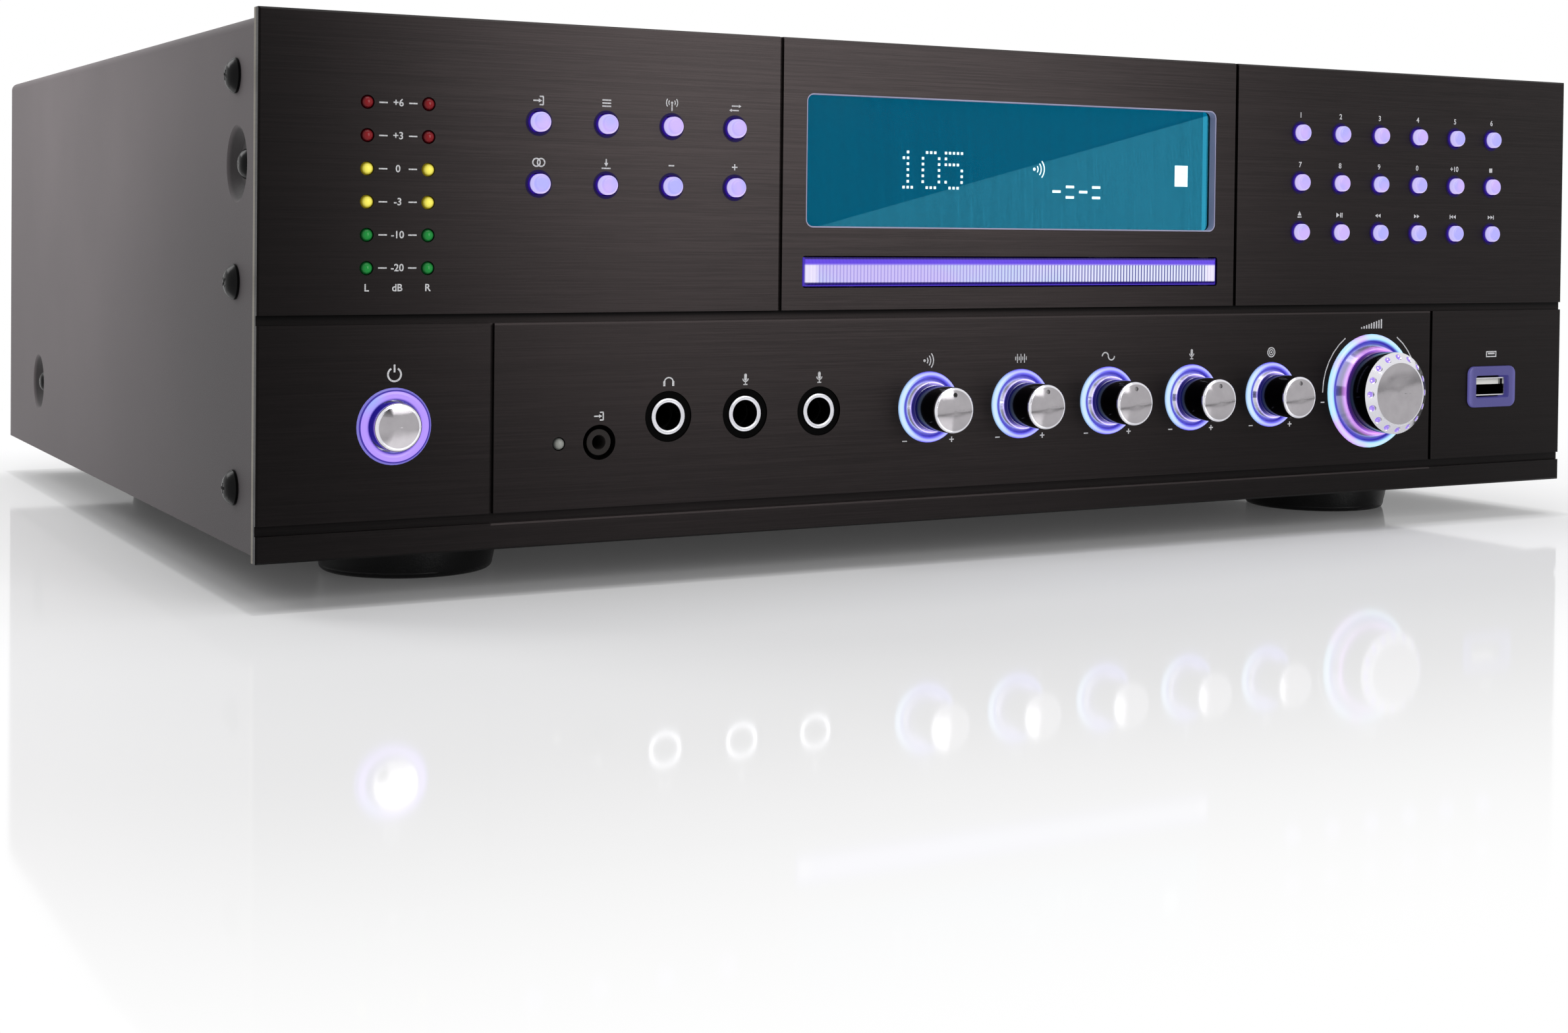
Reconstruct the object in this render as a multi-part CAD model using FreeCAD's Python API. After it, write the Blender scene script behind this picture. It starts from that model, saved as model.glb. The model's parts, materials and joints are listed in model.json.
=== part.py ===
import FreeCAD, Part
import math
import os

# A stereo amplifier with a disc tray in its front. Sizes are in millimetres.
# X runs to the right as seen from the front, Y to the back and Z up. The origin lies on the surface
# that the feet stand on, below the middle of the whole object.

# Case
panel_width = 430.0
panel_height = 130.0
panel_thickness = 4.0
panel_overhang = 1.8        # the panel stands above and below the case by this much
case_depth = 325.0          # from the face of the panel to the back of the rear wall
foot_height = 13.3

# Clearances
overrun = 2.0               # a cutting tool passes the face that it cuts by this much
seat_gap = 0.1              # between a piece and the stop that it rests against
trim_gap = 0.15             # round a fixed piece in its hole
turn_gap = 0.05             # round a shaft in its bearing
control_gap = 0.5           # round a knob or a button
slide_gap = 0.4             # round the tray in its slot and rails
same_place = 1e-6           # points closer than this are one point

# Places on the front panel. Heights are shares of the panel's height, from its lower edge. Places across
# the lower band are shares of half the panel's width, from its middle. Places in the two wings beside the
# display are shares of a wing's width, from the panel's end.
lower_groove_share = 0.05
upper_groove_share = 0.4285
lower_seam_share = 0.73
control_row_share = 0.2404
small_row_share = 0.195
power_share = -0.8456
pilot_share = -0.6474
aux_share = -0.5963
jack_share = -0.507
jack_step_share = 0.103
knob_share = -0.1405
knob_step_share = 0.1415
master_share = 0.6126
usb_share = 0.853
window_row_share = 0.7523
led_row_share = 0.8365
led_row_step_share = 0.0608
led_column_share = 0.189
led_column_step_share = 0.11
selector_row_share = 0.8108
selector_row_step_share = 0.1177
selector_column_share = 0.5054
selector_column_step_share = 0.1316
keypad_row_share = 0.8477
keypad_row_step_share = 0.1154
keypad_column_share = 0.2404
keypad_column_step_share = 0.1159

# Front panel
groove_height = 2.4
groove_depth = 1.2
seam_width = 1.1
seam_depth = 1.2
seam_margin = 7.6           # from the display's opening to the seams beside it
panel_bevel = 0.5

# Display
window_width = 138.6
window_height = 35.6
window_corner = 2.2
window_recess = 2.7         # the pane lies this far behind the face of the panel
window_rim = 3.0            # the pane's rim overlaps the back of the panel
window_rim_thickness = 1.5
display_margin = 1.5        # the display reaches past the opening by this much
display_depth = 9.0
display_frame = 2.5         # width of the metal frame round the display's glass
display_frame_step = 0.8

# Tray front, a clear light bar with upright ribs
tray_drop = 11.75           # from the lower edge of the display's opening to the middle of the bar
tray_front_overhang = 4.8   # the bar is wider than the tray by this much at each end
tray_front_rise = 0.25      # and taller than the tray by this much above and below
tray_front_depth = 5.4
tray_front_proud = 0.6
tray_front_top_bevel = 1.9
tray_front_low_bevel = 0.8
tray_front_end_bevel = 1.5
tray_front_bevel_depth = 1.0
rib_pitch = 1.06
rib_depth = 0.4
slot_corner = 0.8

# Disc tray
disc_radius = 60.6
disc_margin = 4.4           # from the disc's recess to the front and the sides of the tray
disc_recess = 1.8
small_disc_radius = 40.6
small_disc_recess = 1.0
tray_height = 7.2
tray_travel = 135.0
tray_grip = 33.0            # length of the tray that stays in the loader when it is out
tray_wall = 3.0
tray_pocket = 3.0           # height of the hollow under the tray
hub_opening_radius = 17.0
hub_opening_length = 50.0   # the opening for the pick-up behind the hub

# Rack under the tray and the pinion that drives it
gear_module = 1.0
pressure_angle = math.radians(20)
pinion_teeth = 24
gear_backlash = 0.3
dedendum_share = 1.25
flank_steps = 4
pinion_thickness = 2.3
pinion_pin_radius = 3.0
pinion_collar_radius = 5.0
pinion_setback = 18.0       # from the back of the panel to the pinion's axis
rack_inset = 17.0           # from the side of the tray to the rack's pitch line
rack_back = 3.0
rack_spare_teeth = 4

# Disc loader
loader_spare = 22.0         # the loader is longer than the tray by this much
loader_wall = 2.5
loader_front_gap = 2.0
rail_width = 4.0
rail_gap = 0.2
lip_width = 3.0
lip_height = 2.0
loader_floor_thickness = 2.2
bridge_width = 22.0
bridge_height = 2.4
clamp_radius = 13.0
clamp_height = 1.6
turntable_radius = 14.5
turntable_plate = 1.4
turntable_cone_radius = 7.4
turntable_cone_taper = 1.0
turntable_cone_height = 2.0
turntable_clear = 0.8       # under the tray and above the motor
spindle_radius = 1.0
motor_radius = 12.0
motor_height = 9.0
loader_leg_radius = 5.0
loader_leg_inset = 9.0      # from the side of the loader
loader_front_leg = 49.0     # from the front of the loader
loader_rear_leg = 26.0      # from the end of the loader

# Level lamps and pilot lamp
led_radius = 1.55
led_proud = 1.0
led_flange_lip = 0.4        # the flange reaches past the hole by this much
led_rows = 6
led_columns = 2
pilot_tail = 4.0

# Push buttons
button_radius = 2.45
button_round = 0.9
button_reach = 2.6
button_travel = 0.8
button_flange_lip = 0.85
button_flange = 0.9
button_stem_radius = 1.4
selector_rows = 2
selector_columns = 4
keypad_rows = 3
keypad_columns = 6

# Power button
power_radius = 5.9
power_reach = 4.0
power_travel = 3.0
power_edge = 0.8
power_crown = 0.3
power_flange_lip = 1.2
power_flange = 1.2
power_stem_radius = 2.5
power_ring_width = 2.9

# Rotary knobs
knob_names = ["echo", "treble", "bass", "microphone", "subwoofer"]
knob_radius = 6.25
knob_reach = 13.6
knob_edge = 0.7
knob_crown = 0.4
knob_cap = 4.0              # metal in front of the shaft's bore
knob_tuck = 1.2             # the knob reaches this far behind the face of the panel
knob_dot_radius = 0.65
knob_dot_offset = 4.2
knob_dot_depth = 0.35
master_radius = 12.5
master_reach = 12.8
master_bevel_width = 2.7
master_bevel_depth = 1.9
master_rim = 0.45           # polished line between the dished face and the bevel
master_dish = 0.5
dimple_count = 16
dimple_radius = 1.5
dimple_depth = 0.45
shaft_radius = 3.0

# Lit rings and plated bezels round the controls
ring_proud = 0.9
ring_lip = 0.5              # the ring's flange overlaps the face of the panel by this much
ring_tail = 1.0             # the ring reaches this far behind the panel
ring_width = 1.75
bezel_width = 1.25
master_ring_width = 2.4
master_bezel_width = 2.2
bezel_proud = 0.25
bezel_rise_share = 1.5      # the bezel rises towards its knob by this share of its width
bezel_rim_share = 0.2       # and its flat rim takes this share

# Large jack sockets
jack_count = 3
jack_bore = 3.3
jack_depth = 30.0
jack_inset = 0.3
jack_rim = 1.5              # moulded rim round the sleeve
jack_shoulder_lip = 1.95
jack_shoulder = 2.5
jack_body = 15.0
jack_floor = 2.0
sleeve_step = 0.2           # the sleeve's bore is wider than the socket's by this much
sleeve_wall = 1.25
sleeve_proud = 0.2
sleeve_round = 0.4
sleeve_tail = 1.5

# Small jack socket: a bush in a wider hole of the panel
aux_bore = 1.85
aux_wall = 1.5
aux_round = 0.3
aux_hole_gap = 1.1
aux_shoulder_lip = 1.0
aux_depth = 18.0
aux_body = 9.0

# USB socket
usb_shell_width = 13.1
usb_shell_height = 5.7
usb_shell_wall = 0.35
usb_shell_inset = 0.4
usb_depth = 14.0
usb_mouth_gap = 0.75        # round the shell in the lit frame
usb_mouth_corner = 0.8
usb_frame_border = 2.95
usb_frame_corner = 2.5
usb_frame_lip = 0.7
usb_tongue_gap = 0.65
usb_tongue_height = 1.84
usb_tongue_setback = 1.6
usb_tongue_rise = 0.6       # the tongue lies above the middle of the shell

# Boards behind the panel
board_thickness = 1.6
board_post_radius = 2.2
board_post_inset = 3.0
key_board_gap = 9.0
key_board_margin = 9.0
switch_width = 6.0
switch_height = 4.4
switch_plunger = 1.0
switch_plunger_radius = 1.7
pot_gap = 5.0
pot_depth = 9.0
pot_width = 16.0
pot_height = 15.0
pot_bush_radius = 4.2
pot_bush = 3.5
pot_shaft_depth = 6.0
pot_board_margin_x = 20.0
pot_board_margin_z = 14.0
side_board_margin = 15.0
power_switch_width = 13.0
power_switch_depth = 14.0

# Top cover
cover_sheet = 1.2
cover_bend = 2.4
dish_radius = 9.3
dish_floor_radius = 6.0
dish_depth = 2.6
vent_rows = 2
vent_pitch = 9.5
vent_width = 4.0
vent_length = 62.0
vent_inset = 72.0           # from the back of the case to the middle of the last row
vent_row_pitch = 78.0

# Case screws: heights are shares of the panel's height
side_screw_count = 3
side_screw_share = 0.1238
side_screw_step_share = 0.38
upper_dish_share = 0.7215
rear_dish_share = 0.19
side_screw_y = 19.5         # behind the face of the panel
upper_dish_y = 18.5
rear_dish_inset = 54.0      # from the back of the case
side_screw_radius = 4.3
side_screw_height = 2.6
screw_washer = 0.6
dish_screw_radius = 3.6
dish_screw_height = 2.2
screw_shank_radius = 1.9
screw_shank = 9.0
screw_hole_gap = 0.15
foot_screw_radius = 4.0
foot_screw_height = 2.6
foot_screw_shank = 12.0

# Chassis
chassis_sheet = 1.2
flange_height = 38.0
ear_depth = 34.0
ear_drop = 4.0              # from the cover's top down to the ears
front_flange_height = 9.0

# Feet
foot_radius = 24.4
foot_taper = 1.6
foot_round = 1.5
foot_groove = 1.2
foot_groove_z = 9.5
foot_well_radius = 6.0
foot_well_floor = 5.0
foot_inset = 55.5           # from the sides, the front and the back of the case

# Main board, transformer and heat sink on the chassis
stand_off = 6.0
stand_off_radius = 3.0
stand_off_inset = 6.0
main_board_gap = 12.0       # to the loader and to the side of the chassis
main_board_setback = 61.0   # from the back of the panel
main_board_depth = 190.0
capacitor_count = 4
capacitor_radius = 12.5
capacitor_height = 42.0
capacitor_pitch = 29.0
capacitor_groove = 1.0
capacitor_groove_z = 5.0
transformer_inset = 140.0   # from the back of the case to its axis
transformer_radius = 48.0
transformer_bore = 15.0
transformer_height = 46.0
transformer_round = 9.0
transformer_plate_radius = 30.0
transformer_plate = 2.0
transformer_bolt_radius = 3.0
transformer_nut_radius = 5.5
transformer_nut = 4.0
sink_inset = 46.0           # from the back of the case to the roots of the fins
sink_width = 110.0
sink_height = 58.0
sink_base = 5.0
sink_fin = 1.8
sink_fin_length = 24.0
sink_fin_count = 13

# Fan on the rear wall
fan_x = -60.0
fan_z = 60.0                # above the underside of the case
fan_size = 60.0
fan_depth = 16.0
fan_corner = 4.0
fan_wall = 1.5              # between the duct and the sides of the frame
fan_hub_radius = 12.0
fan_hub_plate = 2.0
fan_hub_gap = 0.3           # between the hub and its plate
fan_strut = 3.0
fan_strut_count = 4
fan_tip_gap = 1.0
fan_blades = 7
fan_blade_chord = 12.0
fan_blade_thickness = 1.1
fan_blade_pitch = 38.0      # degrees
fan_rotor_depth = 10.5
fan_axle_radius = 1.5
grille_inner_radius = 6.0
grille_slot = 3.6
grille_bar = 1.8
grille_spokes = 4
grille_spoke_width = 2.6

# Rear connectors: heights are measured from the underside of the case
phono_rows = 2
phono_columns = 4
phono_inset = 31.0          # from the side of the case to the last column
phono_z = 78.0
phono_pitch = 18.0
phono_row_pitch = 20.0
phono_collar_radius = 5.6
phono_collar = 2.0
phono_barrel_radius = 4.15
phono_barrel = 9.0
phono_bore = 1.65
phono_bore_depth = 8.0
phono_lip = 0.6
phono_tail_radius = 4.5
phono_tail = 8.0
post_rows = 2
post_columns = 4
post_x = 42.0
post_z = 26.0
post_pitch = 22.0
post_row_pitch = 24.0
post_reach = 17.0
post_collar_radius = 7.5
post_collar = 3.0
post_neck_radius = 3.4
post_neck = 1.6
post_cap_radius = 6.2
post_flutes = 10
post_flute_radius = 1.3
post_flute_depth = 0.45
post_edge = 1.0
post_tail_radius = 2.5
post_tail = 9.0
inlet_inset = 50.0          # from the side of the case to the middle of the inlet
inlet_z = 36.0
inlet_mouth_width = 24.4
inlet_mouth_height = 16.6
inlet_mouth_corner = 4.0
inlet_wall = 1.5
inlet_flange_lip = 2.0
inlet_flange = 3.0
inlet_flange_corner = 2.5
inlet_body_depth = 20.0
inlet_floor = 3.5
inlet_pin_width = 2.0
inlet_pin_height = 4.2
inlet_pin_length = 11.5
inlet_pin_pitch = 7.0
inlet_pin_rise = 2.0

# Directions and planes worked out from the sizes above
X_AXIS = FreeCAD.Vector(1, 0, 0)
Y_AXIS = FreeCAD.Vector(0, 1, 0)
Z_AXIS = FreeCAD.Vector(0, 0, 1)
FULL_TURN = 360.0
arc_share = 1 - math.sqrt(0.5)      # from a corner to the middle of its quarter arc, in radii
half_width = panel_width / 2
front = (max(knob_reach, master_reach) - case_depth - post_reach) / 2
panel_back = front + panel_thickness
rear = front + case_depth
wall_face = rear - chassis_sheet
panel_bottom = foot_height - panel_overhang
panel_top = panel_bottom + panel_height
case_bottom = foot_height
case_top = panel_top - panel_overhang
base_top = case_bottom + chassis_sheet
chassis_half = half_width - cover_sheet - dish_depth
upper_seam_x = window_width / 2 + seam_margin
wing = half_width - upper_seam_x
window_z = panel_bottom + window_row_share * panel_height

# Disc tray and loader
tray_width = 2 * (disc_radius + disc_margin)
tray_length = tray_travel + tray_grip
tray_front_width = tray_width + 2 * tray_front_overhang
tray_front_height = tray_height + 2 * tray_front_rise
tray_middle = window_z - window_height / 2 - tray_drop
tray_bottom = tray_middle - tray_height / 2
tray_top = tray_bottom + tray_height
tray_start = front - tray_front_proud + tray_front_depth
disc_y = tray_start + disc_margin + disc_radius
pitch_radius = gear_module * pinion_teeth / 2
base_radius = pitch_radius * math.cos(pressure_angle)
root_radius = pitch_radius - dedendum_share * gear_module
tip_radius = pitch_radius + gear_module
tooth_width = (math.pi * gear_module - gear_backlash) / 2
rack_x = rack_inset - tray_width / 2
pinion_x = rack_x + pitch_radius
pinion_y = panel_back + pinion_setback
pinion_bottom = tray_bottom + (tray_pocket - pinion_thickness) / 2
turntable_top = tray_bottom - turntable_clear
turntable_bottom = turntable_top - turntable_cone_height - turntable_plate
loader_floor = turntable_bottom - turntable_clear
loader_front = panel_back + loader_front_gap
loader_end = loader_front + tray_length + loader_spare
loader_half = tray_width / 2 + slide_gap + loader_wall

# Bays between the loader and the sides of the chassis
bay_width = chassis_half - loader_half
bay_x = loader_half + bay_width / 2

# Radii and outlines that follow from what they surround
bezel_bore = knob_radius + control_gap
bezel_radius = bezel_bore + bezel_width
ring_radius = bezel_radius + ring_width
master_bezel_bore = master_radius + control_gap
master_bezel_radius = master_bezel_bore + master_bezel_width
master_ring_radius = master_bezel_radius + master_ring_width
power_ring_bore = power_radius + control_gap
power_ring_radius = power_ring_bore + power_ring_width
button_hole = button_radius + control_gap
sleeve_bore = jack_bore + sleeve_step
sleeve_radius = sleeve_bore + sleeve_wall
jack_radius = sleeve_radius + trim_gap + jack_rim
aux_radius = aux_bore + aux_wall
aux_hole = aux_radius + aux_hole_gap
usb_mouth_width = usb_shell_width + 2 * usb_mouth_gap
usb_mouth_height = usb_shell_height + 2 * usb_mouth_gap
usb_frame_width = usb_mouth_width + 2 * usb_frame_border
usb_frame_height = usb_mouth_height + 2 * usb_frame_border
fan_duct_radius = fan_size / 2 - fan_wall
inlet_x = inlet_inset - half_width
inlet_body_width = inlet_mouth_width + 2 * inlet_wall
inlet_body_height = inlet_mouth_height + 2 * inlet_wall


def box(x0, x1, y0, y1, z0, z1):
    """Block between two planes on each axis."""
    return Part.makeBox(x1 - x0, y1 - y0, z1 - z0, FreeCAD.Vector(x0, y0, z0))


def rod(radius, start, end):
    """Round bar from one point to another."""
    return Part.makeCylinder(radius, (end - start).Length, start, end - start)


def rod_y(radius, x, z, y0, y1):
    """Round bar along Y."""
    return rod(radius, FreeCAD.Vector(x, y0, z), FreeCAD.Vector(x, y1, z))


def rod_z(radius, x, y, z0, z1):
    """Round bar along Z."""
    return rod(radius, FreeCAD.Vector(x, y, z0), FreeCAD.Vector(x, y, z1))


def outline(points, place):
    """Closed wire through points (u, v); an entry (mu, mv, u, v) is an arc through (mu, mv) to (u, v)."""
    edges = []
    here = place(*points[0][-2:])
    for point in points[1:] + points[:1]:
        there = place(*point[-2:])
        if len(point) == 4:
            edges.append(Part.Arc(here, place(*point[:2]), there).toShape())
        elif not here.isEqual(there, same_place):
            edges.append(Part.makeLine(here, there))
        here = there
    return Part.Wire(edges)


def turned(points, centre, axis):
    """Solid of revolution: points are (radius, place along the axis), and centre lies on the axis."""
    wire = outline(points, lambda radius, along: centre + X_AXIS * radius + axis * along)
    return Part.Face(wire).revolve(centre, axis, FULL_TURN)


def turned_y(points, x, z):
    """Solid of revolution about a line along Y, with each point's place given as its Y."""
    return turned(points, FreeCAD.Vector(x, 0, z), Y_AXIS)


def turned_z(points, x, y):
    """Solid of revolution about a line along Z, with each point's place given as its Z."""
    return turned(points, FreeCAD.Vector(x, y, 0), Z_AXIS)


def rounded(width, height, corner, x, z, y0, y1):
    """Plate of rounded rectangular outline between two planes across Y."""
    u = width / 2
    v = height / 2
    inset = corner * arc_share
    points = [
        (corner - u, -v),
        (u - corner, -v),
        (u - inset, inset - v, u, corner - v),
        (u, v - corner),
        (u - inset, v - inset, u - corner, v),
        (corner - u, v),
        (inset - u, v - inset, -u, v - corner),
        (-u, corner - v),
        (inset - u, inset - v, corner - u, -v),
    ]
    wire = outline(points, lambda across, up: FreeCAD.Vector(x + across, y0, z + up))
    return Part.Face(wire).extrude(Y_AXIS * (y1 - y0))


def slot_z(length, width, x, y, z0, z1):
    """Upright cutter for a slot along Y with round ends."""
    radius = width / 2
    straight = length / 2 - radius
    points = [
        (-radius, -straight),
        (0, -straight - radius, radius, -straight),
        (radius, straight),
        (0, straight + radius, -radius, straight),
    ]
    wire = outline(points, lambda across, along: FreeCAD.Vector(x + across, y + along, z0))
    return Part.Face(wire).extrude(Z_AXIS * (z1 - z0))


def joined(first, *others):
    """One solid from pieces that touch or overlap, with its flat faces merged."""
    return first.fuse(list(others)).removeSplitter()


def steps(first, step, count):
    """Evenly spaced values."""
    return [first + index * step for index in range(count)]


def grid(columns, rows):
    """Places (x, z) of a field of controls, row by row from the top left."""
    return [(x, z) for z in rows for x in columns]


def panel_x(share):
    """Place across the panel, from a share of half its width."""
    return share * half_width


def panel_z(share):
    """Height on the panel, from a share of its height."""
    return panel_bottom + share * panel_height


def wing_rows(first, step, count):
    """Heights of the rows of a field, from the top down."""
    return [panel_z(share) for share in steps(first, -step, count)]


def selector_places():
    shares = steps(selector_column_share, selector_column_step_share, selector_columns)
    columns = [share * wing - half_width for share in shares]
    return grid(columns, wing_rows(selector_row_share, selector_row_step_share, selector_rows))


def keypad_places():
    shares = steps(keypad_column_share, keypad_column_step_share, keypad_columns)
    columns = [half_width - share * wing for share in reversed(shares)]
    return grid(columns, wing_rows(keypad_row_share, keypad_row_step_share, keypad_rows))


def led_places():
    shares = steps(led_column_share, led_column_step_share, led_columns)
    columns = [share * wing - half_width for share in shares]
    return grid(columns, wing_rows(led_row_share, led_row_step_share, led_rows))


def lower_places(first, step, count):
    """Places (x, z) of a row of controls in the lower band."""
    return [(panel_x(share), panel_z(control_row_share)) for share in steps(first, step, count)]


def knob_places():
    return lower_places(knob_share, knob_step_share, len(knob_names))


def jack_places():
    return lower_places(jack_share, jack_step_share, jack_count)


MASTER_PLACE = (panel_x(master_share), panel_z(control_row_share))
POWER_PLACE = (panel_x(power_share), panel_z(control_row_share))
USB_PLACE = (panel_x(usb_share), panel_z(control_row_share))
PILOT_PLACE = (panel_x(pilot_share), panel_z(small_row_share))
AUX_PLACE = (panel_x(aux_share), panel_z(small_row_share))


def panel_hole(radius, place):
    """Cutter for a round hole through the panel."""
    return rod_y(radius, *place, front - overrun, panel_back + overrun)


def front_panel():
    panel = box(-half_width, half_width, front, panel_back, panel_bottom, panel_top)
    front_edges = [edge for edge in panel.Edges if edge.BoundBox.YMax < front + panel_bevel]
    panel = panel.makeChamfer(panel_bevel, front_edges)
    lower_groove = panel_z(lower_groove_share)
    upper_groove = panel_z(upper_groove_share)
    cutters = []
    for bottom in (lower_groove, upper_groove):
        cutters.append(
            box(-half_width - overrun, half_width + overrun, front - overrun, front + groove_depth,
                bottom, bottom + groove_height)
        )
    bands = [
        (upper_seam_x, upper_groove + groove_height, panel_top + overrun),
        (panel_x(lower_seam_share), lower_groove + groove_height, upper_groove),
    ]
    for seam_x, low, high in bands:
        for x in (-seam_x, seam_x):
            cutters.append(
                box(x - seam_width / 2, x + seam_width / 2, front - overrun, front + seam_depth, low, high)
            )
    through = (front - overrun, panel_back + overrun)
    cutters.append(rounded(window_width, window_height, window_corner, 0, window_z, *through))
    cutters.append(
        rounded(tray_front_width + 2 * slide_gap, tray_front_height + 2 * slide_gap, slot_corner,
                0, tray_middle, *through)
    )
    cutters.append(
        rounded(usb_frame_width - 2 * usb_frame_lip, usb_frame_height - 2 * usb_frame_lip,
                usb_frame_corner - usb_frame_lip, *USB_PLACE, *through)
    )
    for place in selector_places() + keypad_places():
        cutters.append(panel_hole(button_hole, place))
    for place in led_places() + [PILOT_PLACE]:
        cutters.append(panel_hole(led_radius + trim_gap, place))
    for place in knob_places():
        cutters.append(panel_hole(ring_radius - ring_lip, place))
    cutters.append(panel_hole(master_ring_radius - ring_lip, MASTER_PLACE))
    cutters.append(panel_hole(power_ring_radius - ring_lip, POWER_PLACE))
    for place in jack_places():
        cutters.append(panel_hole(jack_radius + trim_gap, place))
    cutters.append(panel_hole(aux_hole, AUX_PLACE))
    return panel.cut(cutters)


def display_window():
    """Clear pane whose raised middle stands in the panel's opening, with a rim behind the panel."""
    middle = rounded(window_width - 2 * trim_gap, window_height - 2 * trim_gap, window_corner - trim_gap,
                     0, window_z, front + window_recess, panel_back + window_rim_thickness)
    rim = rounded(window_width + 2 * window_rim, window_height + 2 * window_rim, window_corner,
                  0, window_z, panel_back, panel_back + window_rim_thickness)
    return joined(middle, rim)


def display_module():
    """Display glass in its folded frame, against the back of the pane."""
    start = panel_back + window_rim_thickness
    width = window_width + 2 * display_margin
    height = window_height + 2 * display_margin
    glass = rounded(width, height, window_corner, 0, window_z, start, start + display_depth)
    frame = rounded(width + 2 * display_frame, height + 2 * display_frame, window_corner,
                    0, window_z, start + display_frame_step, start + display_depth - display_frame_step)
    return joined(glass, frame)


def tray_front():
    """Light bar: bevelled all round, with fine upright ribs over the flat of its face."""
    face = front - tray_front_proud
    back = face + tray_front_depth
    shoulder = face + tray_front_bevel_depth
    half = tray_front_width / 2
    low = tray_middle - tray_front_height / 2
    high = low + tray_front_height
    section = [
        (shoulder, low),
        (face, low + tray_front_low_bevel),
        (face, high - tray_front_top_bevel),
        (shoulder, high),
        (back, high),
        (back, low),
    ]
    wire = outline(section, lambda y, z: FreeCAD.Vector(-half, y, z))
    bar = Part.Face(wire).extrude(X_AXIS * tray_front_width)
    corner = [
        (half - tray_front_end_bevel, face - overrun),
        (half + overrun, face - overrun),
        (half + overrun, shoulder),
        (half, shoulder),
        (half - tray_front_end_bevel, face),
    ]
    for side in (-1, 1):
        wire = outline(corner, lambda x, y, turn=side: FreeCAD.Vector(turn * x, y, low - overrun))
        bar = bar.cut(Part.Face(wire).extrude(Z_AXIS * (tray_front_height + 2 * overrun)))
    ribs = int((tray_front_width - 2 * tray_front_end_bevel) / rib_pitch)
    first = -ribs * rib_pitch / 2
    comb = [(first, face - overrun)]
    for index in range(ribs):
        comb.append((first + index * rib_pitch, face))
        comb.append((first + index * rib_pitch + rib_pitch / 2, face + rib_depth))
    comb.append((first + ribs * rib_pitch, face))
    comb.append((first + ribs * rib_pitch, face - overrun))
    wire = outline(comb, lambda x, y: FreeCAD.Vector(x, y, low + tray_front_low_bevel))
    flat = tray_front_height - tray_front_low_bevel - tray_front_top_bevel
    return bar.cut(Part.Face(wire).extrude(Z_AXIS * flat))


def rack():
    """Straight rack along Y with its teeth towards +X, in mesh with the pinion."""
    pitch = math.pi * gear_module
    slope = math.tan(pressure_angle)
    root_x = rack_x - dedendum_share * gear_module
    root_half = tooth_width / 2 + dedendum_share * gear_module * slope
    tip_half = tooth_width / 2 - gear_module * slope
    first = -rack_spare_teeth / 2 + 0.5
    count = math.ceil(tray_travel / pitch) + rack_spare_teeth
    start = pinion_y + (first - 0.5) * pitch
    points = [(root_x - rack_back, start), (root_x, start)]
    for index in range(count):
        y = pinion_y + (first + index) * pitch
        points.append((root_x, y - root_half))
        points.append((rack_x + gear_module, y - tip_half))
        points.append((rack_x + gear_module, y + tip_half))
        points.append((root_x, y + root_half))
    points.append((root_x, start + count * pitch))
    points.append((root_x - rack_back, start + count * pitch))
    wire = outline(points, lambda x, y: FreeCAD.Vector(x, y, tray_bottom))
    return Part.Face(wire).extrude(Z_AXIS * tray_pocket)


def disc_tray():
    """Tray with recesses for two disc sizes, an opening for hub and pick-up, and a rack in its hollow."""
    half = tray_width / 2
    tray_end = tray_start + tray_length
    tray = box(-half, half, tray_start, tray_end, tray_bottom, tray_top)
    hollow = box(tray_wall - half, half - tray_wall, tray_start + tray_wall, tray_end + overrun,
                 tray_bottom - overrun, tray_bottom + tray_pocket)
    large = rod_z(disc_radius, 0, disc_y, tray_top - disc_recess, tray_top + overrun)
    small = rod_z(small_disc_radius, 0, disc_y, tray_top - disc_recess - small_disc_recess, tray_top)
    hub = rod_z(hub_opening_radius, 0, disc_y, tray_bottom - overrun, tray_top + overrun)
    opening = box(-hub_opening_radius, hub_opening_radius, disc_y, disc_y + hub_opening_length,
                  tray_bottom - overrun, tray_top + overrun)
    return joined(tray.cut([hollow, large, small, hub, opening]), rack())


def involute(angle):
    return math.tan(angle) - angle


def tooth_half_angle(radius):
    """Half the angle that a tooth of the pinion takes up at a radius."""
    flank = math.acos(min(1, base_radius / radius))
    return tooth_width / (2 * pitch_radius) + involute(pressure_angle) - involute(flank)


def pinion_point(radius, angle):
    x = pinion_x + radius * math.cos(angle)
    y = pinion_y + radius * math.sin(angle)
    return FreeCAD.Vector(x, y, pinion_bottom)


def pinion_flank(middle, side):
    """One flank of the tooth at an angle, from its foot to its tip."""
    foot = max(base_radius, root_radius)
    radii = [foot + (tip_radius - foot) * step / flank_steps for step in range(flank_steps + 1)]
    return [pinion_point(radius, middle + side * tooth_half_angle(radius)) for radius in radii]


def spline(points):
    curve = Part.BSplineCurve()
    curve.interpolate(points)
    return curve.toShape()


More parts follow.
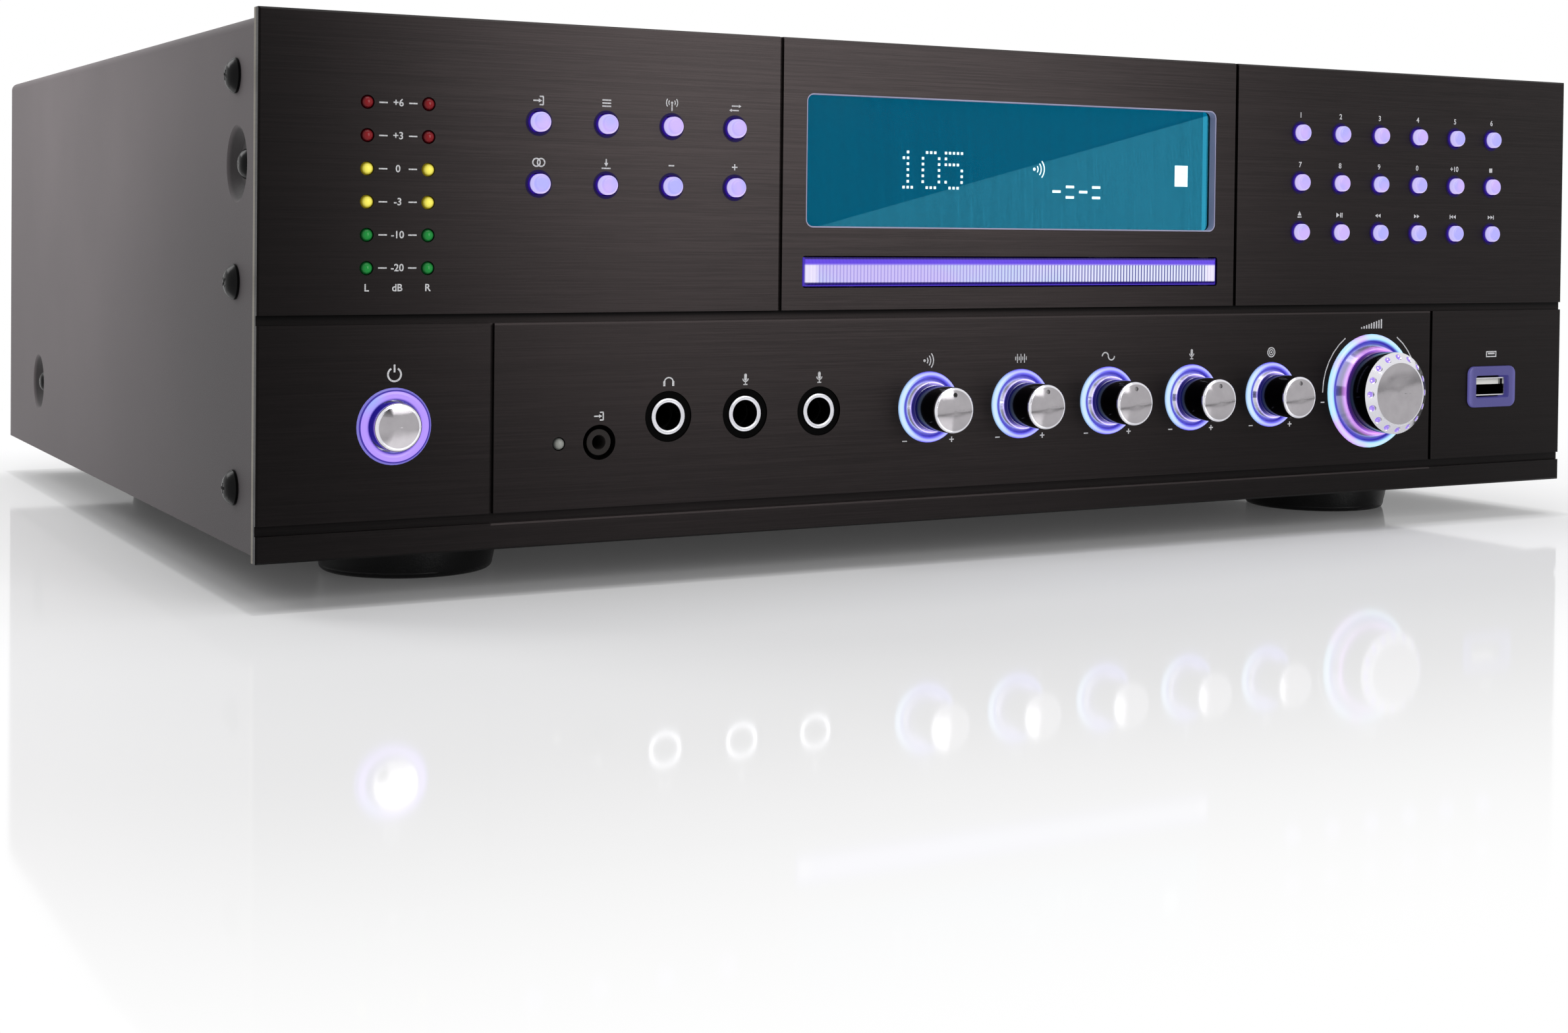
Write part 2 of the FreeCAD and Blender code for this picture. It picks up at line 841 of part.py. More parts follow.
def drive_pinion():
    """Spur gear whose tooth at -X stands in a gap of the rack."""
    step = 2 * math.pi / pinion_teeth
    foot_half = tooth_half_angle(max(base_radius, root_radius))
    edges = []
    for index in range(pinion_teeth):
        middle = math.pi + index * step
        rising = pinion_flank(middle, -1)
        falling = pinion_flank(middle, 1)[::-1]
        root_before = pinion_point(root_radius, middle - foot_half)
        root_after = pinion_point(root_radius, middle + foot_half)
        root_middle = pinion_point(root_radius, middle + step / 2)
        root_next = pinion_point(root_radius, middle + step - foot_half)
        edges.append(Part.makeLine(root_before, rising[0]))
        edges.append(spline(rising))
        edges.append(Part.Arc(rising[-1], pinion_point(tip_radius, middle), falling[0]).toShape())
        edges.append(spline(falling))
        edges.append(Part.makeLine(falling[-1], root_after))
        edges.append(Part.Arc(root_after, root_middle, root_next).toShape())
    gear = Part.Face(Part.Wire(edges)).extrude(Z_AXIS * pinion_thickness)
    return gear.cut(
        rod_z(pinion_pin_radius + turn_gap, pinion_x, pinion_y, pinion_bottom - overrun,
              pinion_bottom + pinion_thickness + overrun)
    )


def disc_loader():
    """Frame of the disc drive: floor, walls with rails and lips, clamp bridge, motor and legs."""
    inner = tray_width / 2 + slide_gap
    floor_bottom = loader_floor - loader_floor_thickness
    lip_bottom = tray_top + slide_gap
    lip_top = lip_bottom + lip_height
    bridge_top = lip_top + bridge_height
    pieces = [box(-loader_half, loader_half, loader_front, loader_end, floor_bottom, loader_floor)]
    walls = [
        (inner, floor_bottom, lip_top),
        (inner - rail_width, floor_bottom, tray_bottom - rail_gap),
        (inner - lip_width, lip_bottom, lip_top),
    ]
    for near, low, high in walls:
        pieces.append(box(near, loader_half, loader_front, loader_end, low, high))
        pieces.append(box(-loader_half, -near, loader_front, loader_end, low, high))
    across = (-loader_half, loader_half)
    pieces.append(box(*across, loader_end - loader_wall, loader_end, floor_bottom, lip_top))
    pieces.append(box(*across, disc_y - bridge_width / 2, disc_y + bridge_width / 2, lip_top, bridge_top))
    pieces.append(rod_z(clamp_radius, 0, disc_y, bridge_top - clamp_height, bridge_top + clamp_height))
    pieces.append(rod_z(motor_radius, 0, disc_y, loader_floor - motor_height, loader_floor))
    pin_top = pinion_bottom + pinion_thickness
    pieces.append(rod_z(pinion_collar_radius, pinion_x, pinion_y, floor_bottom, pinion_bottom - seat_gap))
    pieces.append(rod_z(pinion_pin_radius, pinion_x, pinion_y, floor_bottom, pin_top))
    for x in (loader_leg_inset - loader_half, loader_half - loader_leg_inset):
        for y in (loader_front + loader_front_leg, loader_end - loader_rear_leg):
            pieces.append(rod_z(loader_leg_radius, x, y, base_top, loader_floor))
    bearing_bottom = loader_floor - motor_height / 2
    bearing = rod_z(spindle_radius + turn_gap, 0, disc_y, bearing_bottom, loader_floor + overrun)
    return joined(*pieces).cut(bearing)


def turntable():
    """Hub that turns the disc, in its lowered place under the tray."""
    plate_top = turntable_bottom + turntable_plate
    spindle_end = loader_floor - motor_height / 2 + seat_gap
    points = [
        (0, turntable_top),
        (turntable_cone_radius - turntable_cone_taper, turntable_top),
        (turntable_cone_radius, plate_top),
        (turntable_radius, plate_top),
        (turntable_radius, turntable_bottom),
        (spindle_radius, turntable_bottom),
        (spindle_radius, spindle_end),
        (0, spindle_end),
    ]
    return turned_z(points, 0, disc_y)


def led(place, tail):
    """Domed lamp with a flange behind the panel and a spacer of the given end."""
    tip = front - led_proud
    flange = panel_back + seat_gap
    inset = led_radius * arc_share
    flange_radius = led_radius + trim_gap + led_flange_lip
    points = [
        (0, tip),
        (led_radius - inset, tip + inset, led_radius, tip + led_radius),
        (led_radius, flange),
        (flange_radius, flange),
        (flange_radius, tail),
        (0, tail),
    ]
    return turned_y(points, *place)


def level_leds():
    lamps = [led(place, panel_back + key_board_gap) for place in led_places()]
    return lamps + [led(PILOT_PLACE, panel_back + pilot_tail)]


def push_button(place):
    """Cap with a rounded tip, a flange that stops it behind the panel and a stem towards its switch."""
    tip = front - button_reach
    flange = panel_back + seat_gap
    stem_end = panel_back + key_board_gap - switch_height - button_travel - seat_gap
    inset = button_round * arc_share
    flange_radius = button_hole + button_flange_lip
    points = [
        (0, tip),
        (button_radius - button_round, tip),
        (button_radius - inset, tip + inset, button_radius, tip + button_round),
        (button_radius, flange),
        (flange_radius, flange),
        (flange_radius, flange + button_flange),
        (button_stem_radius, flange + button_flange),
        (button_stem_radius, stem_end),
        (0, stem_end),
    ]
    return turned_y(points, *place)


def crowned_face(radius, tip, edge, crown):
    """Start of a turned outline: a slightly domed face and a rounded edge."""
    inset = edge * arc_share
    rim = radius - edge
    return [
        (0, tip),
        (rim / 2, tip + crown / 4, rim, tip + crown),
        (radius - inset, tip + crown + inset, radius, tip + crown + edge),
    ]


def power_button():
    flange = panel_back + ring_tail + seat_gap
    flange_radius = power_ring_bore + power_flange_lip
    stem_end = panel_back + key_board_gap - power_travel - seat_gap
    points = crowned_face(power_radius, front - power_reach, power_edge, power_crown) + [
        (power_radius, flange),
        (flange_radius, flange),
        (flange_radius, flange + power_flange),
        (power_stem_radius, flange + power_flange),
        (power_stem_radius, stem_end),
        (0, stem_end),
    ]
    return turned_y(points, *POWER_PLACE)


def knob_rear(radius, tip):
    """End of a knob's turned outline: its skirt and the bore for its shaft."""
    bore = shaft_radius + turn_gap
    back = front + knob_tuck
    floor = tip + knob_cap
    return [(radius, back), (bore, back), (bore, floor), (0, floor)]


def control_shaft(place, tip):
    """Shaft of a rotary control, from inside the knob to inside the control's body."""
    return rod_y(shaft_radius, *place, tip + knob_cap + seat_gap, panel_back + pot_gap + pot_shaft_depth)


def small_knob(place):
    x, z = place
    tip = front - knob_reach
    points = crowned_face(knob_radius, tip, knob_edge, knob_crown) + knob_rear(knob_radius, tip)
    dot = rod_y(knob_dot_radius, x, z + knob_dot_offset, tip - overrun, tip + knob_crown + knob_dot_depth)
    return [turned_y(points, x, z).cut(dot), control_shaft(place, tip)]


def master_knob():
    """Large knob with a dished face and a bevel that is dimpled all round."""
    x, z = MASTER_PLACE
    tip = front - master_reach
    rim = master_radius - master_bevel_width
    dish = rim - master_rim
    points = [
        (0, tip + master_dish),
        (dish / 2, tip + master_dish * 3 / 4, dish, tip),
        (rim, tip),
        (master_radius, tip + master_bevel_depth),
    ] + knob_rear(master_radius, tip)
    knob = turned_y(points, x, z)
    slope = FreeCAD.Vector(master_bevel_width, master_bevel_depth, 0).normalize()
    rise = FreeCAD.Vector(slope.y, -slope.x, 0) * (dimple_radius - dimple_depth)
    middle = FreeCAD.Vector(rim + master_bevel_width / 2, tip + master_bevel_depth / 2, 0)
    dimples = []
    for index in range(dimple_count):
        dimple = Part.makeSphere(dimple_radius, middle + rise)
        dimple.rotate(FreeCAD.Vector(), Y_AXIS, FULL_TURN * index / dimple_count)
        dimple.translate(FreeCAD.Vector(x, 0, z))
        dimples.append(dimple)
    return [knob.cut(dimples), control_shaft(MASTER_PLACE, tip)]


def light_ring(place, outer, bore):
    """Clear ring with a domed lip on the face of the panel and a barrel through it."""
    barrel = outer - ring_lip - trim_gap
    tail = panel_back + ring_tail
    points = [
        (bore, front - ring_proud / 2),
        ((outer + bore) / 2, front - ring_proud, outer, front),
        (barrel, front),
        (barrel, tail),
        (bore, tail),
    ]
    return turned_y(points, *place)


def usb_light_frame():
    lip = rounded(usb_frame_width, usb_frame_height, usb_frame_corner, *USB_PLACE, front - ring_proud, front)
    outer = [edge for edge in lip.Edges if edge.BoundBox.YMax < front - ring_proud / 2]
    lip = lip.makeFillet(ring_proud / 2, outer)
    inset = usb_frame_lip + trim_gap
    barrel = rounded(usb_frame_width - 2 * inset, usb_frame_height - 2 * inset, usb_frame_corner - inset,
                     *USB_PLACE, front, panel_back + ring_tail)
    mouth = rounded(usb_mouth_width, usb_mouth_height, usb_mouth_corner, *USB_PLACE,
                    front - ring_proud - overrun, panel_back + ring_tail + overrun)
    return joined(lip, barrel).cut(mouth)


def light_rings():
    rings = [light_ring(place, ring_radius, bezel_radius) for place in knob_places()]
    rings.append(light_ring(MASTER_PLACE, master_ring_radius, master_bezel_radius))
    rings.append(light_ring(POWER_PLACE, power_ring_radius, power_ring_bore))
    return rings + [usb_light_frame()]


def bezel(place, outer, bore):
    """Plated collar that rises from a lit ring to a flat rim round a knob."""
    edge = outer - trim_gap
    width = edge - bore
    tail = panel_back + ring_tail
    lip = front - bezel_proud
    crest = lip - width * bezel_rise_share
    points = [(edge, lip), (bore + width * bezel_rim_share, crest), (bore, crest), (bore, tail), (edge, tail)]
    return turned_y(points, *place)


def jack_sleeve(place):
    """Plated sleeve at the mouth of a large jack socket."""
    start = front - sleeve_proud
    inset = sleeve_round * arc_share
    tail = panel_back + sleeve_tail
    points = [
        (sleeve_bore, start + sleeve_round),
        (sleeve_bore + inset, start + inset, sleeve_bore + sleeve_round, start),
        (sleeve_radius - sleeve_round, start),
        (sleeve_radius - inset, start + inset, sleeve_radius, start + sleeve_round),
        (sleeve_radius, tail),
        (sleeve_bore, tail),
    ]
    return turned_y(points, *place)


def trim_rings():
    rings = [bezel(place, bezel_radius, bezel_bore) for place in knob_places()]
    rings.append(bezel(MASTER_PLACE, master_bezel_radius, master_bezel_bore))
    return rings + [jack_sleeve(place) for place in jack_places()]


def large_jack(place):
    """Moulded socket: a bush in the panel, a shoulder behind it and a square body with a blind bore."""
    x, z = place
    start = front + jack_inset
    end = front + jack_depth + jack_floor
    bush = rod_y(jack_radius, x, z, start, panel_back + jack_shoulder)
    shoulder_radius = jack_radius + trim_gap + jack_shoulder_lip
    shoulder = rod_y(shoulder_radius, x, z, panel_back, panel_back + jack_shoulder)
    half = jack_body / 2
    body = box(x - half, x + half, panel_back + jack_shoulder, end, z - half, z + half)
    bore = rod_y(jack_bore, x, z, start - overrun, front + jack_depth)
    seat = rod_y(sleeve_radius + trim_gap, x, z, start - overrun, panel_back + sleeve_tail + seat_gap)
    return joined(bush, shoulder, body).cut([bore, seat])


def aux_jack():
    """Small moulded socket whose round bush stands in a wider hole of the panel."""
    x, z = AUX_PLACE
    start = front + jack_inset
    end = front + aux_depth + jack_floor
    shoulder_end = panel_back + jack_shoulder
    inset = aux_round * arc_share
    points = [
        (aux_bore, start),
        (aux_radius - aux_round, start),
        (aux_radius - inset, start + inset, aux_radius, start + aux_round),
        (aux_radius, panel_back),
        (aux_hole + aux_shoulder_lip, panel_back),
        (aux_hole + aux_shoulder_lip, shoulder_end),
        (aux_bore, shoulder_end),
    ]
    half = aux_body / 2
    body = box(x - half, x + half, shoulder_end, end, z - half, z + half)
    body = body.cut(rod_y(aux_bore, x, z, shoulder_end - overrun, front + aux_depth))
    return joined(turned_y(points, x, z), body)


def jack_sockets():
    return [large_jack(place) for place in jack_places()] + [aux_jack()]


def usb_socket():
    """Folded shell, open to the front, with the contact tongue inside."""
    x, z = USB_PLACE
    start = front + usb_shell_inset
    end = front + usb_depth
    inner = end - usb_shell_wall
    half = usb_shell_width / 2
    rise = usb_shell_height / 2
    shell = box(x - half, x + half, start, end, z - rise, z + rise)
    wall = usb_shell_wall
    hollow = box(x - half + wall, x + half - wall, start - overrun, inner, z - rise + wall, z + rise - wall)
    reach = half - wall - usb_tongue_gap
    low = z + usb_tongue_rise
    tongue = box(x - reach, x + reach, start + usb_tongue_setback, inner, low, low + usb_tongue_height)
    return [shell.cut(hollow), tongue]


def board(places, margin_x, margin_z, gap):
    """Circuit board behind a group of controls, on four posts against the back of the panel."""
    x0 = min(x for x, z in places) - margin_x
    x1 = max(x for x, z in places) + margin_x
    z0 = min(z for x, z in places) - margin_z
    z1 = max(z for x, z in places) + margin_z
    plane = panel_back + gap
    pieces = [box(x0, x1, plane, plane + board_thickness, z0, z1)]
    for x in (x0 + board_post_inset, x1 - board_post_inset):
        for z in (z0 + board_post_inset, z1 - board_post_inset):
            pieces.append(rod_y(board_post_radius, x, z, panel_back, plane))
    return pieces


def tact_switch(place):
    """Switch with its plunger towards a push button."""
    x, z = place
    plane = panel_back + key_board_gap
    half = switch_width / 2
    body_front = plane - switch_height + switch_plunger
    body = box(x - half, x + half, body_front, plane, z - half, z + half)
    return [body, rod_y(switch_plunger_radius, x, z, plane - switch_height, body_front)]


def key_board(places, switches):
    pieces = board(places, key_board_margin, key_board_margin, key_board_gap)
    for place in switches:
        pieces += tact_switch(place)
    return joined(*pieces)


def power_board():
    x, z = POWER_PLACE
    half = power_switch_width / 2
    plane = panel_back + key_board_gap
    pieces = board([POWER_PLACE], side_board_margin, side_board_margin, key_board_gap)
    pieces.append(box(x - half, x + half, plane, plane + power_switch_depth, z - half, z + half))
    return joined(*pieces)


def control_boards():
    rotary_places = knob_places() + [MASTER_PLACE]
    return [
        key_board(selector_places() + led_places(), selector_places()),
        key_board(keypad_places(), keypad_places()),
        power_board(),
        joined(*board(rotary_places, pot_board_margin_x, pot_board_margin_z, pot_gap + pot_depth)),
        joined(*board([USB_PLACE], side_board_margin, side_board_margin, usb_depth - panel_thickness)),
    ]


def rotary_control(place):
    """Body of a potentiometer or encoder, with the bush and bearing for its shaft."""
    x, z = place
    face = panel_back + pot_gap
    half = pot_width / 2
    rise = pot_height / 2
    body = box(x - half, x + half, face, face + pot_depth, z - rise, z + rise)
    bush = rod_y(pot_bush_radius, x, z, face - pot_bush, face)
    depth = face + pot_shaft_depth + seat_gap
    bearing = rod_y(shaft_radius + turn_gap, x, z, face - pot_bush - overrun, depth)
    return joined(body, bush).cut(bearing)


def rotary_controls():
    return [rotary_control(place) for place in knob_places() + [MASTER_PLACE]]


def dish_places():
    """Places (y, z) of the pressed dishes on each side of the cover."""
    return [
        (front + upper_dish_y, panel_z(upper_dish_share)),
        (rear - rear_dish_inset, panel_z(rear_dish_share)),
    ]


def side_screw_places():
    """Places (y, z) of the large screws on each side of the cover."""
    shares = steps(side_screw_share, side_screw_step_share, side_screw_count)
    return [(front + side_screw_y, panel_z(share)) for share in shares]


def vent_places(middle, width):
    """Places across a field of vents that fills a width."""
    count = int(width / vent_pitch)
    return steps(middle - (count - 1) * vent_pitch / 2, vent_pitch, count)


def turned_in(points, side, y, z):
    """Solid of revolution on a side of the case, with each point's place given as its depth from outside."""
    wire = outline(points, lambda radius, depth: FreeCAD.Vector(side * (half_width - depth), y, z + radius))
    return Part.Face(wire).revolve(FreeCAD.Vector(0, y, z), X_AXIS, FULL_TURN)


def side_hole(side, y, z, radius, depth):
    """Cutter into a side of the case."""
    start = FreeCAD.Vector(side * (half_width + overrun), y, z)
    return rod(radius, start, FreeCAD.Vector(side * (half_width - depth), y, z))


def top_cover():
    """Sheet bent over the top and down both sides, with vents and pressed dishes for its screws."""
    outer = cover_bend * arc_share
    inner_bend = cover_bend - cover_sheet
    inner = inner_bend * arc_share
    side = half_width - cover_sheet
    top = case_top - cover_sheet
    section = [
        (-half_width, case_bottom),
        (-half_width, case_top - cover_bend),
        (outer - half_width, case_top - outer, cover_bend - half_width, case_top),
        (half_width - cover_bend, case_top),
        (half_width - outer, case_top - outer, half_width, case_top - cover_bend),
        (half_width, case_bottom),
        (side, case_bottom),
        (side, top - inner_bend),
        (side - inner, top - inner, side - inner_bend, top),
        (inner_bend - side, top),
        (inner - side, top - inner, -side, top - inner_bend),
        (-side, case_bottom),
    ]
    wire = outline(section, lambda x, z: FreeCAD.Vector(x, panel_back, z))
    cover = Part.Face(wire).extrude(Y_AXIS * (rear - panel_back))
    cutters = []
    for x in vent_places(-bay_x, bay_width) + vent_places(bay_x, bay_width):
        for y in steps(rear - vent_inset, -vent_row_pitch, vent_rows):
            cutters.append(slot_z(vent_length, vent_width, x, y, top - overrun, case_top + overrun))
    dishes = []
    hole = screw_shank_radius + screw_hole_gap
    for hand in (-1, 1):
        for y, z in side_screw_places():
            cutters.append(side_hole(hand, y, z, hole, cover_sheet + overrun))
        for y, z in dish_places():
            cutters.append(side_hole(hand, y, z, dish_radius, cover_sheet + overrun))
            profile = [
                (dish_radius, 0),
                (dish_radius, cover_sheet),
                (dish_floor_radius, cover_sheet + dish_depth),
                (hole, cover_sheet + dish_depth),
                (hole, dish_depth),
                (dish_floor_radius, dish_depth),
            ]
            dishes.append(turned_in(profile, hand, y, z))
    return joined(cover.cut(cutters), *dishes)


def case_screw(side, y, z, head, height, seat):
    """Screw into a side of the case: domed head on a washer, seated this far inside the outer face."""
    outside = seat - height
    arc = outside + (height - screw_washer) * arc_share
    points = [
        (0, outside),
        (head * (1 - arc_share), arc, head, seat - screw_washer),
        (head, seat),
        (screw_shank_radius, seat),
        (screw_shank_radius, seat + screw_shank),
        (0, seat + screw_shank),
    ]
    return turned_in(points, side, y, z)


def foot_places():
    x = half_width - foot_inset
    return [(side * x, y) for side in (-1, 1) for y in (front + foot_inset, rear - foot_inset)]


def foot_screw(x, y):
    """Screw that holds a foot to the chassis, in the well under the foot."""
    seat = foot_well_floor
    points = [
        (0, seat - foot_screw_height),
        (foot_screw_radius, seat - foot_screw_height / 2),
        (foot_screw_radius, seat),
        (screw_shank_radius, seat),
        (screw_shank_radius, seat + foot_screw_shank),
        (0, seat + foot_screw_shank),
    ]
    return turned_z(points, x, y)


def case_screws():
    screws = [foot_screw(x, y) for x, y in foot_places()]
    for side in (-1, 1):
        for y, z in side_screw_places():
            screws.append(case_screw(side, y, z, side_screw_radius, side_screw_height, 0))
        for y, z in dish_places():
            screws.append(case_screw(side, y, z, dish_screw_radius, dish_screw_height, dish_depth))
    return screws


def foot(x, y):
    """Moulded foot: tapered, grooved and hollow underneath for its screw."""
    groove_half = foot_groove / 2
    low = foot_radius - foot_taper
    inset = foot_round * arc_share
    shank = screw_shank_radius + screw_hole_gap
    points = [
        (foot_well_radius, 0),
        (low - foot_round, 0),
        (low - inset, inset, low, foot_round),
        (foot_radius, foot_groove_z - groove_half),
        (foot_radius - foot_groove, foot_groove_z - groove_half),
        (foot_radius - foot_groove, foot_groove_z + groove_half),
        (foot_radius, foot_groove_z + groove_half),
        (foot_radius, foot_height),
        (shank, foot_height),
        (shank, foot_well_floor),
        (foot_well_radius, foot_well_floor),
    ]
    return turned_z(points, x, y)


def feet():
    return [foot(x, y) for x, y in foot_places()]


def grille_cutters():
    """Ring slots in front of the fan, parted by spokes."""
    z = case_bottom + fan_z
    reach = (wall_face - overrun, rear + overrun)
    pitch = grille_slot + grille_bar
    count = int((fan_duct_radius - grille_inner_radius) / pitch)
    rings = []
    for inner in steps(grille_inner_radius, pitch, count):
        disc = rod_y(inner + grille_slot, fan_x, z, *reach)
        rings.append(disc.cut(rod_y(inner, fan_x, z, *reach)))
    span = fan_size / 2
    half = grille_spoke_width / 2
    spokes = []
    for index in range(grille_spokes // 2):
        bar = box(-span, span, reach[0] - overrun, reach[1] + overrun, -half, half)
        bar.rotate(FreeCAD.Vector(), Y_AXIS, FULL_TURN * (index + 0.5) / grille_spokes)
        bar.translate(FreeCAD.Vector(fan_x, 0, z))
        spokes.append(bar)
    return [solid for ring in rings for solid in ring.cut(spokes).Solids]


def rear_holes():
    """Cutters in the rear wall for the connectors and the fan."""
    reach = (wall_face - overrun, rear + overrun)
    cutters = grille_cutters()
    for x, z in phono_places():
        cutters.append(rod_y(phono_tail_radius + trim_gap, x, z, *reach))
    for x, z in post_places():
        cutters.append(rod_y(post_tail_radius + trim_gap, x, z, *reach))
    half = inlet_body_width / 2 + trim_gap
    rise = inlet_body_height / 2 + trim_gap
    z = case_bottom + inlet_z
    cutters.append(box(inlet_x - half, inlet_x + half, *reach, z - rise, z + rise))
    return cutters


def chassis():
    """Folded base with side flanges, ears for the front screws, a low front flange and the rear wall."""
    wall_half = half_width - cover_sheet - trim_gap
    wall_top = case_top - cover_sheet - trim_gap
    inset = cover_bend * arc_share
    wall = [
        (-wall_half, case_bottom),
        (wall_half, case_bottom),
        (wall_half, wall_top - cover_bend),
        (wall_half - inset, wall_top - inset, wall_half - cover_bend, wall_top),
        (cover_bend - wall_half, wall_top),
        (inset - wall_half, wall_top - inset, -wall_half, wall_top - cover_bend),
    ]
    wire = outline(wall, lambda x, z: FreeCAD.Vector(x, wall_face, z))
    pieces = [
        box(-chassis_half, chassis_half, panel_back, rear, case_bottom, base_top),
        box(-chassis_half, chassis_half, panel_back, panel_back + chassis_sheet, case_bottom,
            case_bottom + front_flange_height),
        Part.Face(wire).extrude(Y_AXIS * chassis_sheet),
    ]
    ear_top = case_top - ear_drop
    flange = [
        (panel_back, case_bottom),
        (rear, case_bottom),
        (rear, case_bottom + flange_height),
        (panel_back + ear_depth, case_bottom + flange_height),
        (panel_back + ear_depth, ear_top),
        (panel_back, ear_top),
    ]
    for x in (-chassis_half, chassis_half - chassis_sheet):
        wire = outline(flange, lambda y, z, place=x: FreeCAD.Vector(place, y, z))
        pieces.append(Part.Face(wire).extrude(X_AXIS * chassis_sheet))
    hole = screw_shank_radius + screw_hole_gap
    depth = half_width - chassis_half + chassis_sheet + overrun
    cutters = rear_holes()
    for side in (-1, 1):
        for y, z in side_screw_places() + dish_places():
            cutters.append(side_hole(side, y, z, hole, depth))
    for x, y in foot_places():
        cutters.append(rod_z(hole, x, y, case_bottom - overrun, base_top + overrun))
    vent_y = panel_back + main_board_setback + main_board_depth / 2
    for x in vent_places(bay_x, bay_width - 2 * main_board_gap):
        cutters.append(slot_z(vent_length, vent_width, x, vent_y, case_bottom - overrun, base_top + overrun))
    return joined(*pieces).cut(cutters)


def capacitor(x, y, floor):
    """Can with a rolled groove above its foot."""
    groove = floor + capacitor_groove_z
    points = [
        (0, floor),
        (capacitor_radius, floor),
        (capacitor_radius, groove - capacitor_groove),
        (capacitor_radius - capacitor_groove, groove),
        (capacitor_radius, groove + capacitor_groove),
        (capacitor_radius, floor + capacitor_height - capacitor_groove),
        (capacitor_radius - capacitor_groove, floor + capacitor_height),
        (0, floor + capacitor_height),
    ]
    return turned_z(points, x, y)


def main_board():
    """Amplifier board on stand-offs, with its row of supply capacitors."""
    x0 = loader_half + main_board_gap
    x1 = chassis_half - main_board_gap
    y0 = panel_back + main_board_setback
    y1 = y0 + main_board_depth
    plane = base_top + stand_off
    pieces = [box(x0, x1, y0, y1, plane, plane + board_thickness)]
    for x in (x0 + stand_off_inset, x1 - stand_off_inset):
        for y in (y0 + stand_off_inset, y1 - stand_off_inset):
            pieces.append(rod_z(stand_off_radius, x, y, base_top, plane))
    first = (y0 + y1 - (capacitor_count - 1) * capacitor_pitch) / 2
    for y in steps(first, capacitor_pitch, capacitor_count):
        pieces.append(capacitor(bay_x, y, plane + board_thickness))
    return joined(*pieces)


def transformer():
    """Ring-core transformer held down by a plate, a bolt and a nut."""
    y = rear - transformer_inset
    top = base_top + transformer_height
    inset = transformer_round * arc_share
    winding = [
        (transformer_bore, base_top + transformer_round),
        (transformer_bore + inset, base_top + inset, transformer_bore + transformer_round, base_top),
        (transformer_radius - transformer_round, base_top),
        (transformer_radius - inset, base_top + inset, transformer_radius, base_top + transformer_round),
        (transformer_radius, top - transformer_round),
        (transformer_radius - inset, top - inset, transformer_radius - transformer_round, top),
        (transformer_bore + transformer_round, top),
        (transformer_bore + inset, top - inset, transformer_bore, top - transformer_round),
    ]
    plate_top = top + transformer_plate
    clamp = joined(
        rod_z(transformer_plate_radius, -bay_x, y, top, plate_top),
        rod_z(transformer_bolt_radius, -bay_x, y, base_top, plate_top + transformer_nut),
        rod_z(transformer_nut_radius, -bay_x, y, plate_top, plate_top + transformer_nut),
    )
    return [turned_z(winding, -bay_x, y), clamp]


def heat_sink():
    """Extruded comb of upright fins on a thick back."""
    y = rear - sink_inset
    half = sink_width / 2
    pitch = (sink_width - sink_fin) / (sink_fin_count - 1)
    back = y - sink_base
    fin_end = y + sink_fin_length
    points = [(-half, back)]
    for x in steps(-half, pitch, sink_fin_count):
        points += [(x, y), (x, fin_end), (x + sink_fin, fin_end), (x + sink_fin, y)]
    points.append((half, back))
    wire = outline(points, lambda across, along: FreeCAD.Vector(across, along, base_top))
    return Part.Face(wire).extrude(Z_AXIS * sink_height).removeSplitter()


def fan_frame():
    """Square frame with a round duct, and a hub plate on struts against the rear wall."""
    z = case_bottom + fan_z
    start = wall_face - fan_depth
    frame = rounded(fan_size, fan_size, fan_corner, fan_x, z, start, wall_face)
    frame = frame.cut(rod_y(fan_duct_radius, fan_x, z, start - overrun, wall_face + overrun))
    plate = wall_face - fan_hub_plate
    pieces = [rod_y(fan_hub_radius, fan_x, z, plate, wall_face)]
    for index in range(fan_strut_count):
        strut = box(0, fan_duct_radius + trim_gap, plate, wall_face, -fan_strut / 2, fan_strut / 2)
        strut.rotate(FreeCAD.Vector(), Y_AXIS, FULL_TURN * index / fan_strut_count)
        strut.translate(FreeCAD.Vector(fan_x, 0, z))
        pieces.append(strut)
    axle_end = plate - fan_rotor_depth / 2
    pieces.append(rod_y(fan_axle_radius, fan_x, z, axle_end, wall_face))
    return joined(frame, *pieces)


def fan_rotor():
    """Hub cup with pitched blades, trimmed to the duct."""
    z = case_bottom + fan_z
    end = wall_face - fan_hub_plate - fan_hub_gap
    start = end - fan_rotor_depth
    tip = fan_duct_radius - fan_tip_gap
    chord = fan_blade_chord / 2
    half = fan_blade_thickness / 2
    hub = rod_y(fan_hub_radius, fan_x, z, start, end)
    blades = []
    for index in range(fan_blades):
        blade = box(fan_hub_radius / 2, tip + overrun, -chord, chord, -half, half)
        blade.rotate(FreeCAD.Vector(), X_AXIS, fan_blade_pitch)
        blade.rotate(FreeCAD.Vector(), Y_AXIS, FULL_TURN * index / fan_blades)
        blade.translate(FreeCAD.Vector(fan_x, (start + end) / 2, z))
        blades.append(blade.common(rod_y(tip, fan_x, z, start, end)))
    depth = end - fan_rotor_depth / 2 - seat_gap
    bearing = rod_y(fan_axle_radius + turn_gap, fan_x, z, depth, end + overrun)
    return joined(hub, *blades).cut(bearing)


def phono_places():
    first = half_width - phono_inset - (phono_columns - 1) * phono_pitch
    rows = steps(case_bottom + phono_z, phono_row_pitch, phono_rows)
    return grid(steps(first, phono_pitch, phono_columns), rows)


